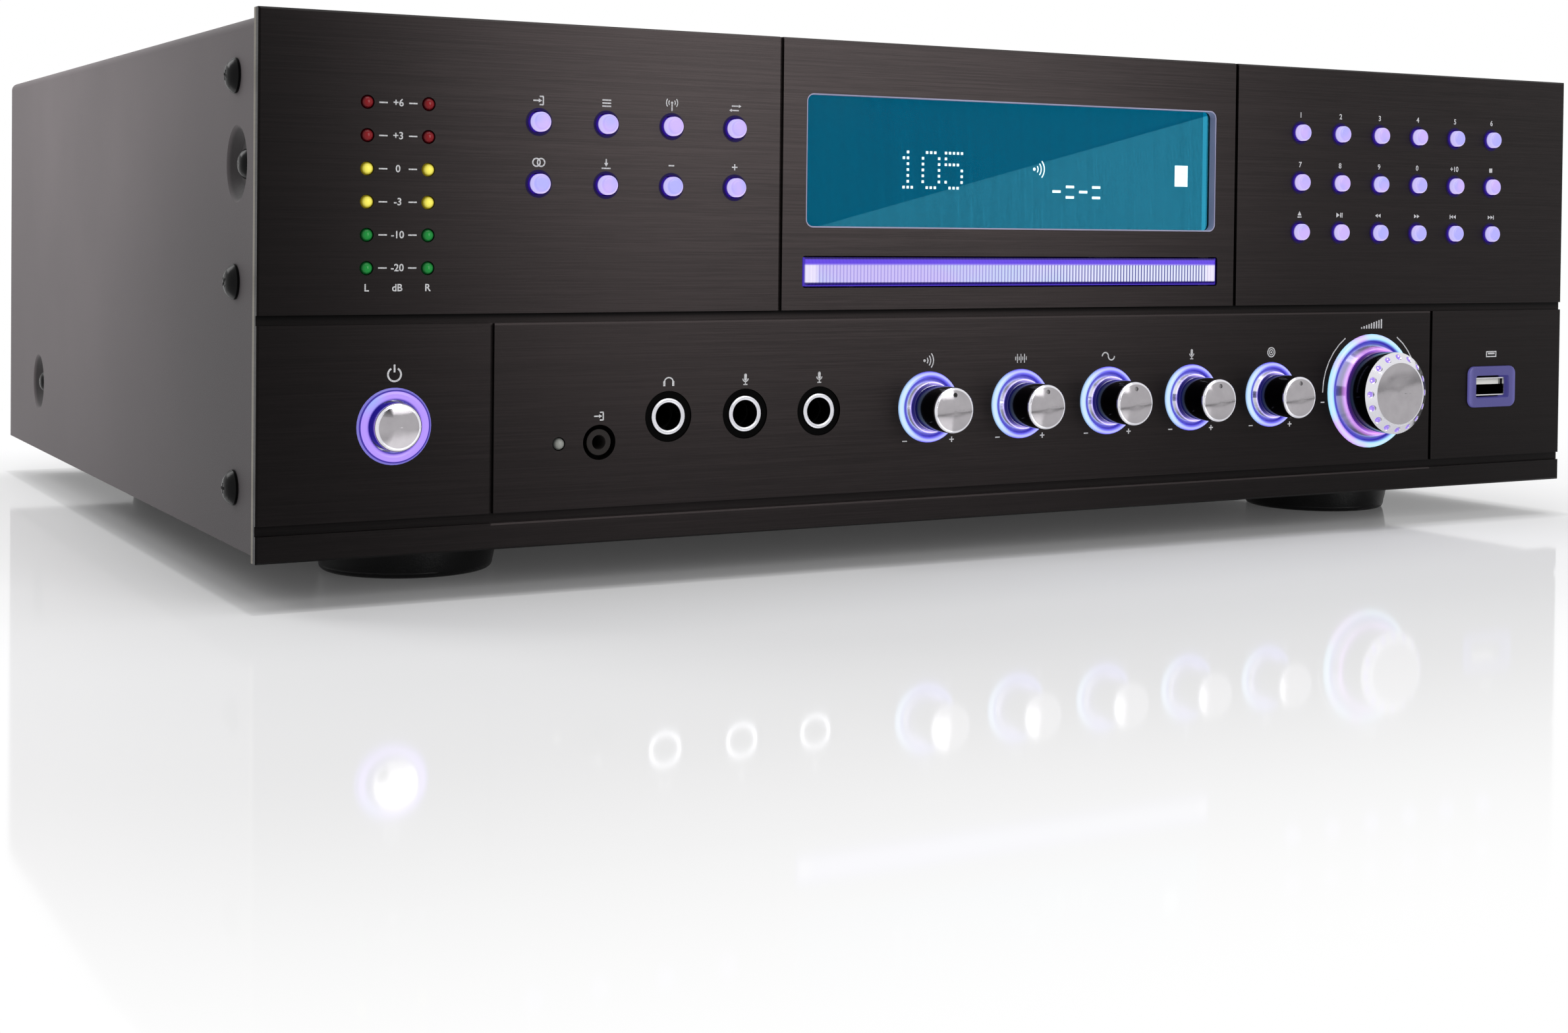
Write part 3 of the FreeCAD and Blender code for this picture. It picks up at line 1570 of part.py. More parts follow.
def phono_jack(x, z):
    """Socket with a collar on the rear wall, a barrel with a lip at its mouth and a tail inside."""
    end = rear + phono_barrel
    lip = phono_barrel_radius + phono_lip / 2
    points = [
        (0, rear - phono_tail),
        (phono_tail_radius, rear - phono_tail),
        (phono_tail_radius, rear),
        (phono_collar_radius, rear),
        (phono_collar_radius, rear + phono_collar),
        (phono_barrel_radius, rear + phono_collar),
        (phono_barrel_radius, end - 2 * phono_lip),
        (lip, end - phono_lip),
        (lip, end),
        (phono_bore, end),
        (phono_bore, end - phono_bore_depth),
        (0, end - phono_bore_depth),
    ]
    return turned_y(points, x, z)


def phono_jacks():
    return [phono_jack(x, z) for x, z in phono_places()]


def post_places():
    rows = steps(case_bottom + post_z, post_row_pitch, post_rows)
    return grid(steps(post_x, post_pitch, post_columns), rows)


def speaker_post(x, z):
    """Binding post: collar on the rear wall, neck, fluted cap and a tail inside."""
    end = rear + post_reach
    cap = rear + post_collar + post_neck
    points = [
        (0, rear - post_tail),
        (post_tail_radius, rear - post_tail),
        (post_tail_radius, rear),
        (post_collar_radius, rear),
        (post_collar_radius, rear + post_collar),
        (post_neck_radius, rear + post_collar),
        (post_neck_radius, cap),
        (post_cap_radius, cap),
        (post_cap_radius, end - post_edge),
        (post_cap_radius - post_edge, end),
        (0, end),
    ]
    reach = post_cap_radius + post_flute_radius - post_flute_depth
    flutes = []
    for index in range(post_flutes):
        angle = 2 * math.pi * index / post_flutes
        flute_x = x + reach * math.cos(angle)
        flute_z = z + reach * math.sin(angle)
        flutes.append(rod_y(post_flute_radius, flute_x, flute_z, cap - seat_gap, end + overrun))
    return turned_y(points, x, z).cut(flutes)


def speaker_terminals():
    return [speaker_post(x, z) for x, z in post_places()]


def mains_inlet():
    """Moulded inlet with a flange on the rear wall, a deep mouth with two cut corners and three blades."""
    z = case_bottom + inlet_z
    face = rear + inlet_flange
    floor = rear - inlet_body_depth + inlet_floor
    half = inlet_mouth_width / 2
    rise = inlet_mouth_height / 2
    flange_width = inlet_body_width + 2 * inlet_flange_lip
    flange_height = inlet_body_height + 2 * inlet_flange_lip
    flange = rounded(flange_width, flange_height, inlet_flange_corner, inlet_x, z, rear, face)
    body = box(inlet_x - inlet_body_width / 2, inlet_x + inlet_body_width / 2, rear - inlet_body_depth, rear,
               z - inlet_body_height / 2, z + inlet_body_height / 2)
    mouth = [
        (-half, -rise),
        (half, -rise),
        (half, rise - inlet_mouth_corner),
        (half - inlet_mouth_corner, rise),
        (inlet_mouth_corner - half, rise),
        (-half, rise - inlet_mouth_corner),
    ]
    wire = outline(mouth, lambda across, up: FreeCAD.Vector(inlet_x + across, floor, z + up))
    hollow = Part.Face(wire).extrude(Y_AXIS * (face + overrun - floor))
    places = [(-inlet_pin_pitch, -inlet_pin_rise), (0, inlet_pin_rise), (inlet_pin_pitch, -inlet_pin_rise)]
    pins = []
    for across, up in places:
        x0 = inlet_x + across - inlet_pin_width / 2
        z0 = z + up - inlet_pin_height / 2
        pins.append(
            box(x0, x0 + inlet_pin_width, floor, floor + inlet_pin_length, z0, z0 + inlet_pin_height)
        )
    return [joined(flange, body).cut(hollow)] + pins


def nodes():
    """Every sub-part by name, each as one shape or a list of shapes."""
    made = {
        "front_panel": front_panel(),
        "top_cover": top_cover(),
        "chassis": chassis(),
        "feet": feet(),
        "case_screws": case_screws(),
        "display_window": display_window(),
        "display_module": display_module(),
        "level_leds": level_leds(),
        "light_rings": light_rings(),
        "trim_rings": trim_rings(),
        "jack_sockets": jack_sockets(),
        "usb_socket": usb_socket(),
        "control_boards": control_boards(),
        "rotary_controls": rotary_controls(),
        "disc_loader": disc_loader(),
        "disc_tray": disc_tray(),
        "tray_front": tray_front(),
        "drive_pinion": drive_pinion(),
        "turntable": turntable(),
        "main_board": main_board(),
        "transformer": transformer(),
        "heat_sink": heat_sink(),
        "fan_frame": fan_frame(),
        "fan_rotor": fan_rotor(),
        "phono_jacks": phono_jacks(),
        "speaker_terminals": speaker_terminals(),
        "mains_inlet": mains_inlet(),
        "power_button": power_button(),
        "master_knob": master_knob(),
    }
    for name, place in zip(knob_names, knob_places()):
        made[name + "_knob"] = small_knob(place)
    for number, place in enumerate(selector_places(), 1):
        made[f"selector_button_{number}"] = push_button(place)
    for number, place in enumerate(keypad_places(), 1):
        made[f"keypad_button_{number}"] = push_button(place)
    return made


def main():
    os.makedirs("parts", exist_ok=True)
    for name, made in nodes().items():
        shapes = made if isinstance(made, list) else [made]
        solids = [solid for shape in shapes for solid in shape.Solids]
        Part.makeCompound(solids).exportStep(f"parts/{name}.step")


if __name__ == "__main__":
    main()
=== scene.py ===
import itertools
import json
import math

import bmesh
import bpy
from mathutils import Matrix, Vector


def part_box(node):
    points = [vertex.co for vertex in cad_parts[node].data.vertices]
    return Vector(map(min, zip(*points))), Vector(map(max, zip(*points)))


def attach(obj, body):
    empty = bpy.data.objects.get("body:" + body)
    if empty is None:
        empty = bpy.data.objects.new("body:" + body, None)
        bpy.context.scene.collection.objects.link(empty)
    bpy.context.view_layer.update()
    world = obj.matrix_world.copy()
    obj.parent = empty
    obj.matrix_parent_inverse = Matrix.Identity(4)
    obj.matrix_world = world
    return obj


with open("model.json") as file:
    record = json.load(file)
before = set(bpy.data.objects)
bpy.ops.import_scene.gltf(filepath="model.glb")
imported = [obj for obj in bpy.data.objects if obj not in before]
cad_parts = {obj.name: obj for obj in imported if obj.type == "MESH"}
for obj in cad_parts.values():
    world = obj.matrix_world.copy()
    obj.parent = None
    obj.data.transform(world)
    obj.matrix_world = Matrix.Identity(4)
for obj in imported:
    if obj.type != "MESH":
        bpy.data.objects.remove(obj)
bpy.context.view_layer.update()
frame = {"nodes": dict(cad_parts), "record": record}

# Looks of a stereo amplifier with a disc tray. X runs to the right as seen from the front, Y to the back
# and Z up. Lengths are in metres. A fade is a pair of limits: nothing at the first, and all at the second.
mm = 0.001
quarter_turn = math.pi / 2
half_turn = math.pi
full_turn = 2 * math.pi

# Camera: turned to the right from straight ahead, tilted and rolled
camera_place = Vector((-354.72, -674.94, 92.14)) * mm
camera_turn = math.radians(29.62)
camera_tilt = math.radians(-1.08)
camera_roll = math.radians(0.64)
camera_lens = 50.776
camera_shift_share = (-0.02404, -0.15919)
camera_clip = (0.01, 200.0)

# Studio
floor_size = 60.0
floor_drop = 0.05 * mm
floor_fade = (40 * mm, 280 * mm)          # out from the object, the floor turns plain white
floor_lift_share = 0.2
painted_shadow_under_share = 0.25                        # of the floor's lift is left under the object, a painted shadow there
painted_shadow_reaches = (2 * mm, 8 * mm)          # out to where the floor has all of its lift again, at the left and at the right: the reach of the painted contact shadow
sheen_share = 0.2
sheen_fade = (310 * mm, 140 * mm)
ambient_share = 0.35
# Lamps by name, place, size and power
lamps = [
    ("key_lamp", Vector((-0.85, 0.75, 0.85)), 0.6, 4.0),
    ("fill_lamp", Vector((0.45, -1.9, 0.75)), 1.1, 14.0),
    ("back_lamp", Vector((0.5, 1.7, 1.5)), 1.4, 8.0),
    ("top_lamp", Vector((0, -0.1, 2.2)), 1.8, 17.0),
]
lamp_target = Vector((0, 0, 60)) * mm
# Dark cards that only reflections show: one on the floor and one standing, by their corners
cards = [
    (Vector((0.02, -0.475, 0.0002)), Vector((0.85, -0.43, 0.0002))),
    (Vector((-0.12, -1.6, 0.13)), Vector((0.16, -1.6, 0.34))),
]

# Printing on the panels
ink = 0.05 * mm
line = 0.34 * mm
arc_step = math.radians(9)
fewest_arc_steps = 4
disc_sides = 20
letter_steps = 3
capital_share = 0.729                     # height of a capital in the lettering's own size
letter_weight_share = 0.12
figure_height = 1.8 * mm
key_figure_height = 1.65 * mm
sign_size = 3.0 * mm
selector_sign_size = 2.55 * mm
key_sign_size = 2.4 * mm
wind_sign_size = 2.1 * mm
power_sign_size = 4.05 * mm
aux_sign_size = 2.4 * mm
knob_mark_size = 2.4 * mm
display_sign_size = 3.6 * mm

# Level lamps: places across, and heights above the panel's lower edge
lamp_columns = (-188.9 * mm, -173.7 * mm)
lamp_top = 108.75 * mm
lamp_pitch = 7.9 * mm
lamp_figures = ["+6", "+3", "0", "-3", "-10", "-20"]
lamp_dash = 2.1 * mm
lamp_dash_inset = 3.9 * mm
lamp_caption_drop = 4.8 * mm
yellow_row = 1.5                          # rows past these have the next colour
green_row = 3.5
pilot_side = -150 * mm                    # a lens right of this is the pilot's

# Buttons, and marks round the controls from the middle of each
selector_count = 8
key_count = 18
button_sign_rise = 5.3 * mm
knob_sign_rise = 12.7 * mm
knob_mark_drop = 9.15 * mm
knob_mark_reach = 7.6 * mm
power_sign_rise = 12.7 * mm
jack_sign_rise = 9.0 * mm
aux_sign_rise = 6.6 * mm
usb_sign_rise = 10.4 * mm
master_sign_rise = 20.8 * mm
master_mark_drop = 3.0 * mm
master_arc_radius = 19.6 * mm
master_arc_turn = math.radians(57)

# Display: places on its face, heights above the panel's lower edge
dot_pitch = 1.32 * mm
dot_size = 0.74 * mm
figure_columns = (-34.4 * mm, -26.9 * mm, -19.4 * mm)
figure_top = 101.0 * mm
figure_slope_share = 1.22                 # a figure's dots lie further apart upwards than across
dash_columns = (15.6 * mm, 20.3 * mm, 25.0 * mm, 29.6 * mm)
single_dash = (91.0 * mm,)
double_dash = (92.4 * mm, 89.4 * mm)
dash_size = (2.9 * mm, 0.75 * mm)
display_sign = (9.6 * mm, 97.2 * mm)
display_block = (60.6 * mm, 96.3 * mm)
display_block_size = (4.8 * mm, 6.2 * mm)
slant_start = (-61.25 * mm, 80.6 * mm)    # the two fields of light meet along a line between these
slant_end = (67.5 * mm, 113.75 * mm)
slant_fade = (-0.15 * mm, 0.15 * mm)
slant_shade = 1.0 * mm                    # width of the darker edge above it, which comes in to the right
slant_shade_fade = (-20 * mm, 60 * mm)
light_row = 0.9 * mm
light_row_fade = (0.1 * mm, 0.4 * mm)
glass_fade = (0.2 * mm, 0.6 * mm)         # behind the glass the display is dark

# Trim that is fitted to the case
liner_wall = 0.35 * mm
liner_corner = 2.2 * mm
liner_corner_steps = 6
liner_start = 0.2 * mm
window_width = 138.6 * mm
window_height = 35.6 * mm
window_middle = 97.8 * mm
window_recess = 2.7 * mm
well_radius = 2.93 * mm
well_sides = 28
well_wall = 0.12 * mm
well_start = 0.1 * mm
well_depth = 3.4 * mm
rim_width = 0.55 * mm                     # dark line round each button

# Screws: the dark cross of painted shade for the recess of each, the small screws of the rear wall and the
# places of the side screws
drive_length = 2.5 * mm
drive_width = 0.7 * mm
drive_depth = 0.24 * mm
drive_sink = 0.11 * mm
drive_step = 0.02 * mm
drive_turn = math.radians(37)
rear_screw_radius = 3.0 * mm
rear_screw_height = 1.7 * mm
rear_screw_inset = 9.0 * mm
rear_screw_round = 0.6 * mm
rear_screw_round_steps = 3
rear_screw_sides = 24
rear_screw_taper_share = 0.85
fan_screw_pitch = 50.0 * mm
side_screw_y = 19.5 * mm                  # behind the face of the panel
side_screw_shares = (0.1238, 0.5038, 0.8838)

# Printing on the rear wall
rear_frame_margin = 11.0 * mm
rear_frame_rise = 1.36 * mm
rear_mark_drop = 10.4 * mm
rear_figure_height = 3.0 * mm
rear_sign_size = 3.6 * mm
rear_sign_rise = 4.2 * mm
place_digits = 4                          # places that agree so far are one column or row
terminal_posts = 4

# Front panel, with a painted highlight: how pale it is at its darkest, how much paler at its palest, and the
# gains at a full share
painted_highlight_base_share = 0.1
painted_highlight_share = 0.86
painted_highlight_gains = (2.9, 2.9, 2.9)
painted_highlight_left_fade = (-225 * mm, -95 * mm)
painted_highlight_right_fade = (-20 * mm, 125 * mm)
painted_highlight_right_share = 0.65                   # of the paleness is lost towards the right
painted_highlight_rise_fade = (-25 * mm, 130 * mm)
painted_highlight_rise_share = 0.86                    # of it comes with the height
grooves = [(6.5 * mm, 0.3), (55.7 * mm, 0.65)]     # above the lower edge, and the share of painted shade in each
groove_height = 2.4 * mm
groove_shade_fade = (0.4 * mm, 2.1 * mm)
groove_depth = 0.1 * mm
groove_lip_highlight = (-0.5 * mm, 0.05 * mm)       # painted highlight along the edge under each groove
groove_lip_highlight_reach = 157 * mm
end_line_width = 0.45 * mm                       # pale line at each end, from a depth behind the face on
end_line_depth = 2.4 * mm

# Cover: painted shade makes it deeper low down, ahead and in the dishes of its screws
cover_low_shade_fade = (125 * mm, 15 * mm)
cover_front_shade_fade = (60 * mm, -150 * mm)
cover_front_low_shade_fade = (130 * mm, 60 * mm)
dish_places = [(-145.7 * mm, 105.3 * mm), (106.8 * mm, 36.2 * mm)]
dish_shade_fade = (9.3 * mm, 8.1 * mm)
dish_depth = 6 * mm

# Lit rings: middle and half of the width of each band, and the bore and width of the collars inside them
small_band = (8.95 * mm, 1.0 * mm)
master_band = (16.6 * mm, 1.35 * mm)
power_band = (7.9 * mm, 1.55 * mm)
small_collar = (6.75 * mm, 1.25 * mm)
master_collar = (13.0 * mm, 2.2 * mm)
master_reach = 22 * mm                    # two rings and the frame lie within these of their middles
power_reach = 20 * mm
frame_reach = 15 * mm
frame_fade = (8.0 * mm, 10.3 * mm)
cap_foot_fade = (-0.9 * mm, -0.2 * mm)    # button caps turn indigo towards the panel's face
unlit_fade = (3 * mm, 4 * mm)             # and behind it, lit pieces are dark

# Knobs and power button: radius of the face inside its rim, and depth of the cap
small_face = (5.6 * mm, 1.2 * mm)
master_face = (9.5 * mm, 2.0 * mm)
power_face = (5.1 * mm, 1.1 * mm)
cap_edge = 0.3 * mm
rim_highlight_width = 0.2 * mm
turning_density = 40 / mm                 # of the fine rings, in radians to a metre
painted_foot_glow = 5.0 * mm                      # reach of the painted glow of the rings' light on the foot of a knob
dot_rise = 4.2 * mm
dot_fade = (0.7 * mm, 0.55 * mm)
dimple_count = 16
dimple_ring = 11.15 * mm
dimple_fade = (1.05 * mm, 0.735 * mm)
dimple_squash_share = 1.2247

# Tray's bar: ribs, and its tones down from the top, up from the foot, in from the ends and back
rib_pitch = 1.06 * mm
bar_shelf_fade = (2.2 * mm, 1.8 * mm)
bar_line_drop = 1.9 * mm
bar_line_fade = (0.35 * mm, 0.1 * mm)
bar_top_fade = (0.7 * mm, 0.3 * mm)
bar_lip_fade = (1.2 * mm, 0.85 * mm)
bar_foot_fade = (0.4 * mm, 0.2 * mm)
bar_end_fade = (5.0 * mm, 3.0 * mm)
bar_tip_fade = (0.7 * mm, 0.2 * mm)
bar_depth_fade = (0.8 * mm, 1.2 * mm)

# Sockets: heights from the middle of each, and depths from the panel's face or the rear wall
aux_place = (-128.2 * mm, 36.85 * mm)
aux_ring = (1.8 * mm, 3.3 * mm)
tongue_span = (0.55 * mm, 2.48 * mm)
tongue_depth = 1.9 * mm
shell_rim_depth = 1.0 * mm
insulator_reach = 2.2 * mm
blade_across = 7.0 * mm
blade_rise = 2.0 * mm
blade_half_width = 1.1 * mm
blade_half_height = 2.2 * mm
blade_span = (-16.4 * mm, -4.8 * mm)

# Depth of the fine grain of each material, and the turns of the transformer's winding
panel_grain = 0.02 * mm
cover_grain = 0.05 * mm
chassis_grain = 0.04 * mm
plastic_grain = 0.03 * mm
tray_grain = 0.05 * mm
screw_grain = 0.004 * mm
metal_grain = 0.006 * mm
turned_grain = 0.0006 * mm
inlet_grain = 0.02 * mm
wire_grain = 0.2 * mm
wire_turns = 150

panel_low, panel_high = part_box("front_panel")
face = panel_low.y
sill = panel_low.z
chassis_low, chassis_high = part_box("chassis")
back = chassis_high.y


def numbered(name, count):
    return [f"{name}_{index}" for index in range(1, count + 1)]


selectors = numbered("selector_button", selector_count)
keys = numbered("keypad_button", key_count)
small_knobs = ["echo_knob", "treble_knob", "bass_knob", "microphone_knob", "subwoofer_knob"]
jacks = ["headphone_socket", "microphone_socket_left", "microphone_socket_right"]
mounts = {mount["name"]: Vector(mount["pos_m"]) for mount in frame["record"]["mounts"]}


def centre(name):
    """Middle of a node's box."""
    low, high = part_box(name)
    return (low + high) / 2


def middle(name):
    """Middle of a node's box, across and up."""
    place = centre(name)
    return place.x, place.z


def tone(red, green, blue):
    """Colour for a shader from the three parts of a screen colour, 0 to 255."""
    parts = []
    for part in (red, green, blue):
        share = part / 255
        parts.append(share / 12.92 if share <= 0.04045 else ((share + 0.055) / 1.055) ** 2.4)
    return (*parts, 1.0)


black = tone(0, 0, 0)
white = tone(255, 255, 255)


def operator(operation, reflected=False):
    """Method of a socket that adds a Math node."""
    def method(self, *others):
        values = (*others, self) if reflected else (self, *others)
        return self.finish.math(operation, *values)
    return method


class Socket:
    """Output of a node. Arithmetic with it adds Math nodes."""

    def __init__(self, finish, output):
        self.finish = finish
        self.output = output

    __add__ = operator("ADD")
    __radd__ = operator("ADD", reflected=True)
    __sub__ = operator("SUBTRACT")
    __rsub__ = operator("SUBTRACT", reflected=True)
    __mul__ = operator("MULTIPLY")
    __rmul__ = operator("MULTIPLY", reflected=True)
    __truediv__ = operator("DIVIDE")
    __mod__ = operator("FLOORED_MODULO")
    __gt__ = operator("GREATER_THAN")
    __lt__ = operator("LESS_THAN")
    __abs__ = operator("ABSOLUTE")


class Finish:
    """Material, or the world's light, made node by node."""

    def __init__(self, block):
        block.use_nodes = True
        self.block = block
        self.tree = block.node_tree
        self.tree.nodes.clear()

    def node(self, kind, sockets=None, result=0, **settings):
        node = self.tree.nodes.new(kind)
        for name, value in settings.items():
            setattr(node, name, value)
        for key, value in (sockets or {}).items():
            if isinstance(value, Socket):
                self.tree.links.new(value.output, node.inputs[key])
            else:
                node.inputs[key].default_value = value
        return Socket(self, node.outputs[result]) if node.outputs else None

    def math(self, operation, *values):
        return self.node("ShaderNodeMath", dict(enumerate(values)), operation=operation)

    def times(self, vector, parts):
        """Vector or colour multiplied part by part."""
        return self.node("ShaderNodeVectorMath", {0: vector, 1: parts}, operation="MULTIPLY")

    def span(self, across, up):
        """Length of the way across and up."""
        return self.math("SQRT", across * across + up * up)

    def mix(self, share, low, high):
        """Colour between two colours."""
        return self.node("ShaderNodeMix", {0: share, 6: low, 7: high}, 2, data_type="RGBA")

    def fade(self, value, low, high):
        """0 at the first limit and before it, 1 at the second and past it, and smooth between them."""
        return self.node("ShaderNodeMapRange", {0: value, 1: low, 2: high}, interpolation_type="SMOOTHSTEP")

    def mottle(self, cloud, low, high):
        """Colour that goes with a cloud from one to another."""
        return self.mix(self.fade(cloud, 0.3, 0.75), low, high)

    def place(self):
        return self.node("ShaderNodeTexCoord", result="Object")

    def split(self, vector):
        node = self.node("ShaderNodeSeparateXYZ", {0: vector}).output.node
        return [Socket(self, output) for output in node.outputs]

    def axes(self):
        """Places along X, Y and Z on the piece."""
        return self.split(self.place())

    def facing(self):
        """Parts of the surface's direction along X, Y and Z."""
        return self.split(self.node("ShaderNodeNewGeometry", result="Normal"))

    def scaled(self, density):
        """Place on the piece, at this many units to a metre along all axes or along each."""
        return self.times(self.place(), density if isinstance(density, tuple) else (density,) * 3)

    def noise(self, density, detail=2.0, share=0.5):
        """Cloud with this many features to a metre."""
        sockets = {"Vector": self.scaled(density), "Scale": 1.0, "Detail": detail, "Roughness": share}
        return self.node("ShaderNodeTexNoise", sockets)

    def cells(self, density):
        return self.node("ShaderNodeTexVoronoi", {"Vector": self.scaled(density), "Scale": 1.0})

    def bump(self, height, depth):
        return self.node("ShaderNodeBump", {"Height": height, "Distance": depth})

    def shown(self):
        """1 for what the camera, a reflection or glass shows."""
        paths = self.node("ShaderNodeLightPath").output.node
        names = ("Is Camera Ray", "Is Glossy Ray", "Is Transmission Ray")
        camera, glossy, through = [Socket(self, paths.outputs[name]) for name in names]
        return self.math("MAXIMUM", self.math("MAXIMUM", camera, glossy), through)

    def emission(self, colour, strength):
        return self.node("ShaderNodeEmission", {"Color": colour, "Strength": strength})

    def blend(self, share, low, high):
        """Shader between two shaders."""
        return self.node("ShaderNodeMixShader", {0: share, 1: low, 2: high})

    def output(self, shader):
        self.node("ShaderNodeOutputMaterial", {"Surface": shader})
        return self

    def surface(self, sockets):
        return self.output(self.node("ShaderNodeBsdfPrincipled", sockets))


def new_finish(name):
    return Finish(bpy.data.materials.new(name))


def between(value, low, high):
    """1 where a value lies between two limits, else 0."""
    return (value > low) * (value < high)


# Finishes
def brushed_black():
    """Black aluminium brushed along X, with a pale line at the back of each end. A painted highlight makes it
    palest high up and left of its middle.
    """
    finish = new_finish("brushed_black")
    x, y, z = finish.axes()
    rise = z - sill
    hair = finish.noise((16, 16, 2600), 3.0, 0.6)
    fine = finish.noise((90, 90, 7000))
    cloud = finish.noise((6, 6, 10))
    grain = hair * 0.55 + fine * 0.45
    colour = finish.mix(finish.fade(grain, 0.36, 0.66), tone(31, 28, 28), tone(39, 35, 35))
    colour = finish.mix(finish.fade(cloud, 0.35, 0.7) * 0.4, colour, tone(36, 32, 32))
    # Painted highlight: the panel's colour is raised high up and left of its middle, and lowered towards its
    # ends and its lower edge
    across = finish.fade(x, *painted_highlight_left_fade) * (1 - finish.fade(x, *painted_highlight_right_fade) * painted_highlight_right_share)
    upward = 1 - painted_highlight_rise_share + finish.fade(rise, *painted_highlight_rise_fade) * painted_highlight_rise_share
    level = painted_highlight_base_share + across * upward * painted_highlight_share
    colour = finish.mix(level, black, finish.times(colour, painted_highlight_gains))
    # Grooves: a painted highlight along the lower edge of each, and painted shade inside it, deepest under
    # its upper lip
    for bottom, share in grooves:
        over = rise - bottom
        lip = between(x, -groove_lip_highlight_reach, groove_lip_highlight_reach) * between(over, *groove_lip_highlight)
        colour = finish.mix(lip * 0.5, colour, tone(66, 60, 60))
        deep = between(over, 0, groove_height) * (y > face + groove_depth)
        shade = 0.3 + finish.fade(over, *groove_shade_fade) * share
        colour = finish.mix(deep * shade, colour, tone(2, 2, 2))
    end = (abs(x) > panel_high.x - end_line_width) * (y > face + end_line_depth)
    return finish.surface({
        "Base Color": finish.mix(end * 0.8, colour, tone(122, 116, 104)),
        "Metallic": 0.9,
        "Roughness": 0.34 + grain * 0.16,
        "Specular IOR Level": 0.3,
        "Normal": finish.bump(grain, panel_grain),
    })


def taupe_paint():
    """Matt powder paint with a fine orange-peel skin, with painted shade low down, ahead and in the screw
    dishes.
    """
    finish = new_finish("taupe_paint")
    x, y, z = finish.axes()
    speck = finish.noise(2600)
    cloud = finish.noise(9, 3.0)
    colour = finish.mottle(cloud, tone(114, 107, 109), tone(127, 119, 121))
    colour = finish.mix(finish.fade(speck, 0.45, 0.75) * 0.35, colour, tone(140, 132, 134))
    # Painted shade: darker low down and towards the front, and in the dishes of the screws
    colour = finish.mix(finish.fade(z, *cover_low_shade_fade) * 0.66, colour, tone(84, 79, 81))
    ahead = finish.fade(y, *cover_front_shade_fade) * (0.6 + finish.fade(z, *cover_front_low_shade_fade) * 0.26)
    colour = finish.mix(ahead, colour, tone(60, 56, 58))
    for along, height in dish_places:
        spot = finish.span(y - along, z - height)
        dish_shade = finish.fade(spot, *dish_shade_fade) * (abs(x) > panel_high.x - dish_depth)
        colour = finish.mix(dish_shade * 0.8, colour, tone(22, 20, 21))
    return finish.surface({
        "Base Color": colour,
        "Roughness": 0.56 + speck * 0.16,
        "Specular IOR Level": 0.3,
        "Normal": finish.bump(speck, cover_grain),
    })


def grey_paint():
    """Dark paint on folded sheet steel."""
    finish = new_finish("grey_paint")
    speck = finish.noise(2200)
    return finish.surface({
        "Base Color": finish.mottle(finish.noise(14, 3.0), tone(52, 50, 50), tone(64, 61, 61)),
        "Roughness": 0.5 + speck * 0.2,
        "Specular IOR Level": 0.35,
        "Normal": finish.bump(speck, chassis_grain),
    })


def moulding(name, low, high, rough, density=1700, depth=plastic_grain, gloss=0.35):
    """Moulded plastic with a fine grain."""
    finish = new_finish(name)
    grain = finish.noise(density)
    return finish.surface({
        "Base Color": finish.mottle(finish.noise(40), low, high),
        "Roughness": rough + grain * 0.14,
        "Specular IOR Level": gloss,
        "Normal": finish.bump(grain, depth),
    })


def metal(name, low, high, rough, density):
    """Bare or plated metal with faint scratches along the grain that its density gives."""
    finish = new_finish(name)
    grain = finish.noise(density, 3.0, 0.6)
    return finish.surface({
        "Base Color": finish.mottle(grain, low, high),
        "Metallic": 1.0,
        "Roughness": rough + grain * rough,
        "Normal": finish.bump(grain, metal_grain),
    })


def clear_pane():
    """Clear pane with a faint haze."""
    finish = new_finish("clear_pane")
    haze = finish.noise(60)
    return finish.surface({
        "Base Color": finish.mix(haze, tone(20, 90, 118), tone(30, 104, 132)),
        "Roughness": 0.05 + haze * 0.05,
        "Alpha": 0.05 + haze * 0.03,
        "Specular IOR Level": 0.15,
    })


def display_light():
    """Lit display: a darker and a lighter field that meet along a slanting line, with fine dot rows."""
    finish = new_finish("display_light")
    x, y, z = finish.axes()
    slope = (slant_end[1] - slant_start[1]) / (slant_end[0] - slant_start[0])
    above = z - sill - slant_start[1] - (x - slant_start[0]) * slope
    rows = finish.fade(abs(z % light_row - light_row / 2), *light_row_fade)
    cloud = finish.noise(18)
    lower = finish.mix(cloud, tone(46, 158, 192), tone(60, 168, 202))
    upper = finish.mix(cloud, tone(0, 122, 162), tone(0, 130, 168))
    colour = finish.mix(finish.fade(above, *slant_fade), lower, upper)
    shade = between(above, 0, slant_shade) * finish.fade(x, *slant_shade_fade)
    colour = finish.mix(shade * 0.25, colour, tone(0, 84, 124))
    colour = finish.mix(rows * 0.06, colour, tone(0, 80, 120))
    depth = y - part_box("display_module")[0].y
    return finish.surface({
        "Base Color": tone(0, 26, 40),
        "Roughness": 0.4 + cloud * 0.1,
        "Specular IOR Level": 0.03,
        "Emission Color": finish.mix(finish.fade(depth, *glass_fade), colour, black),
        "Emission Strength": 0.95,
    })


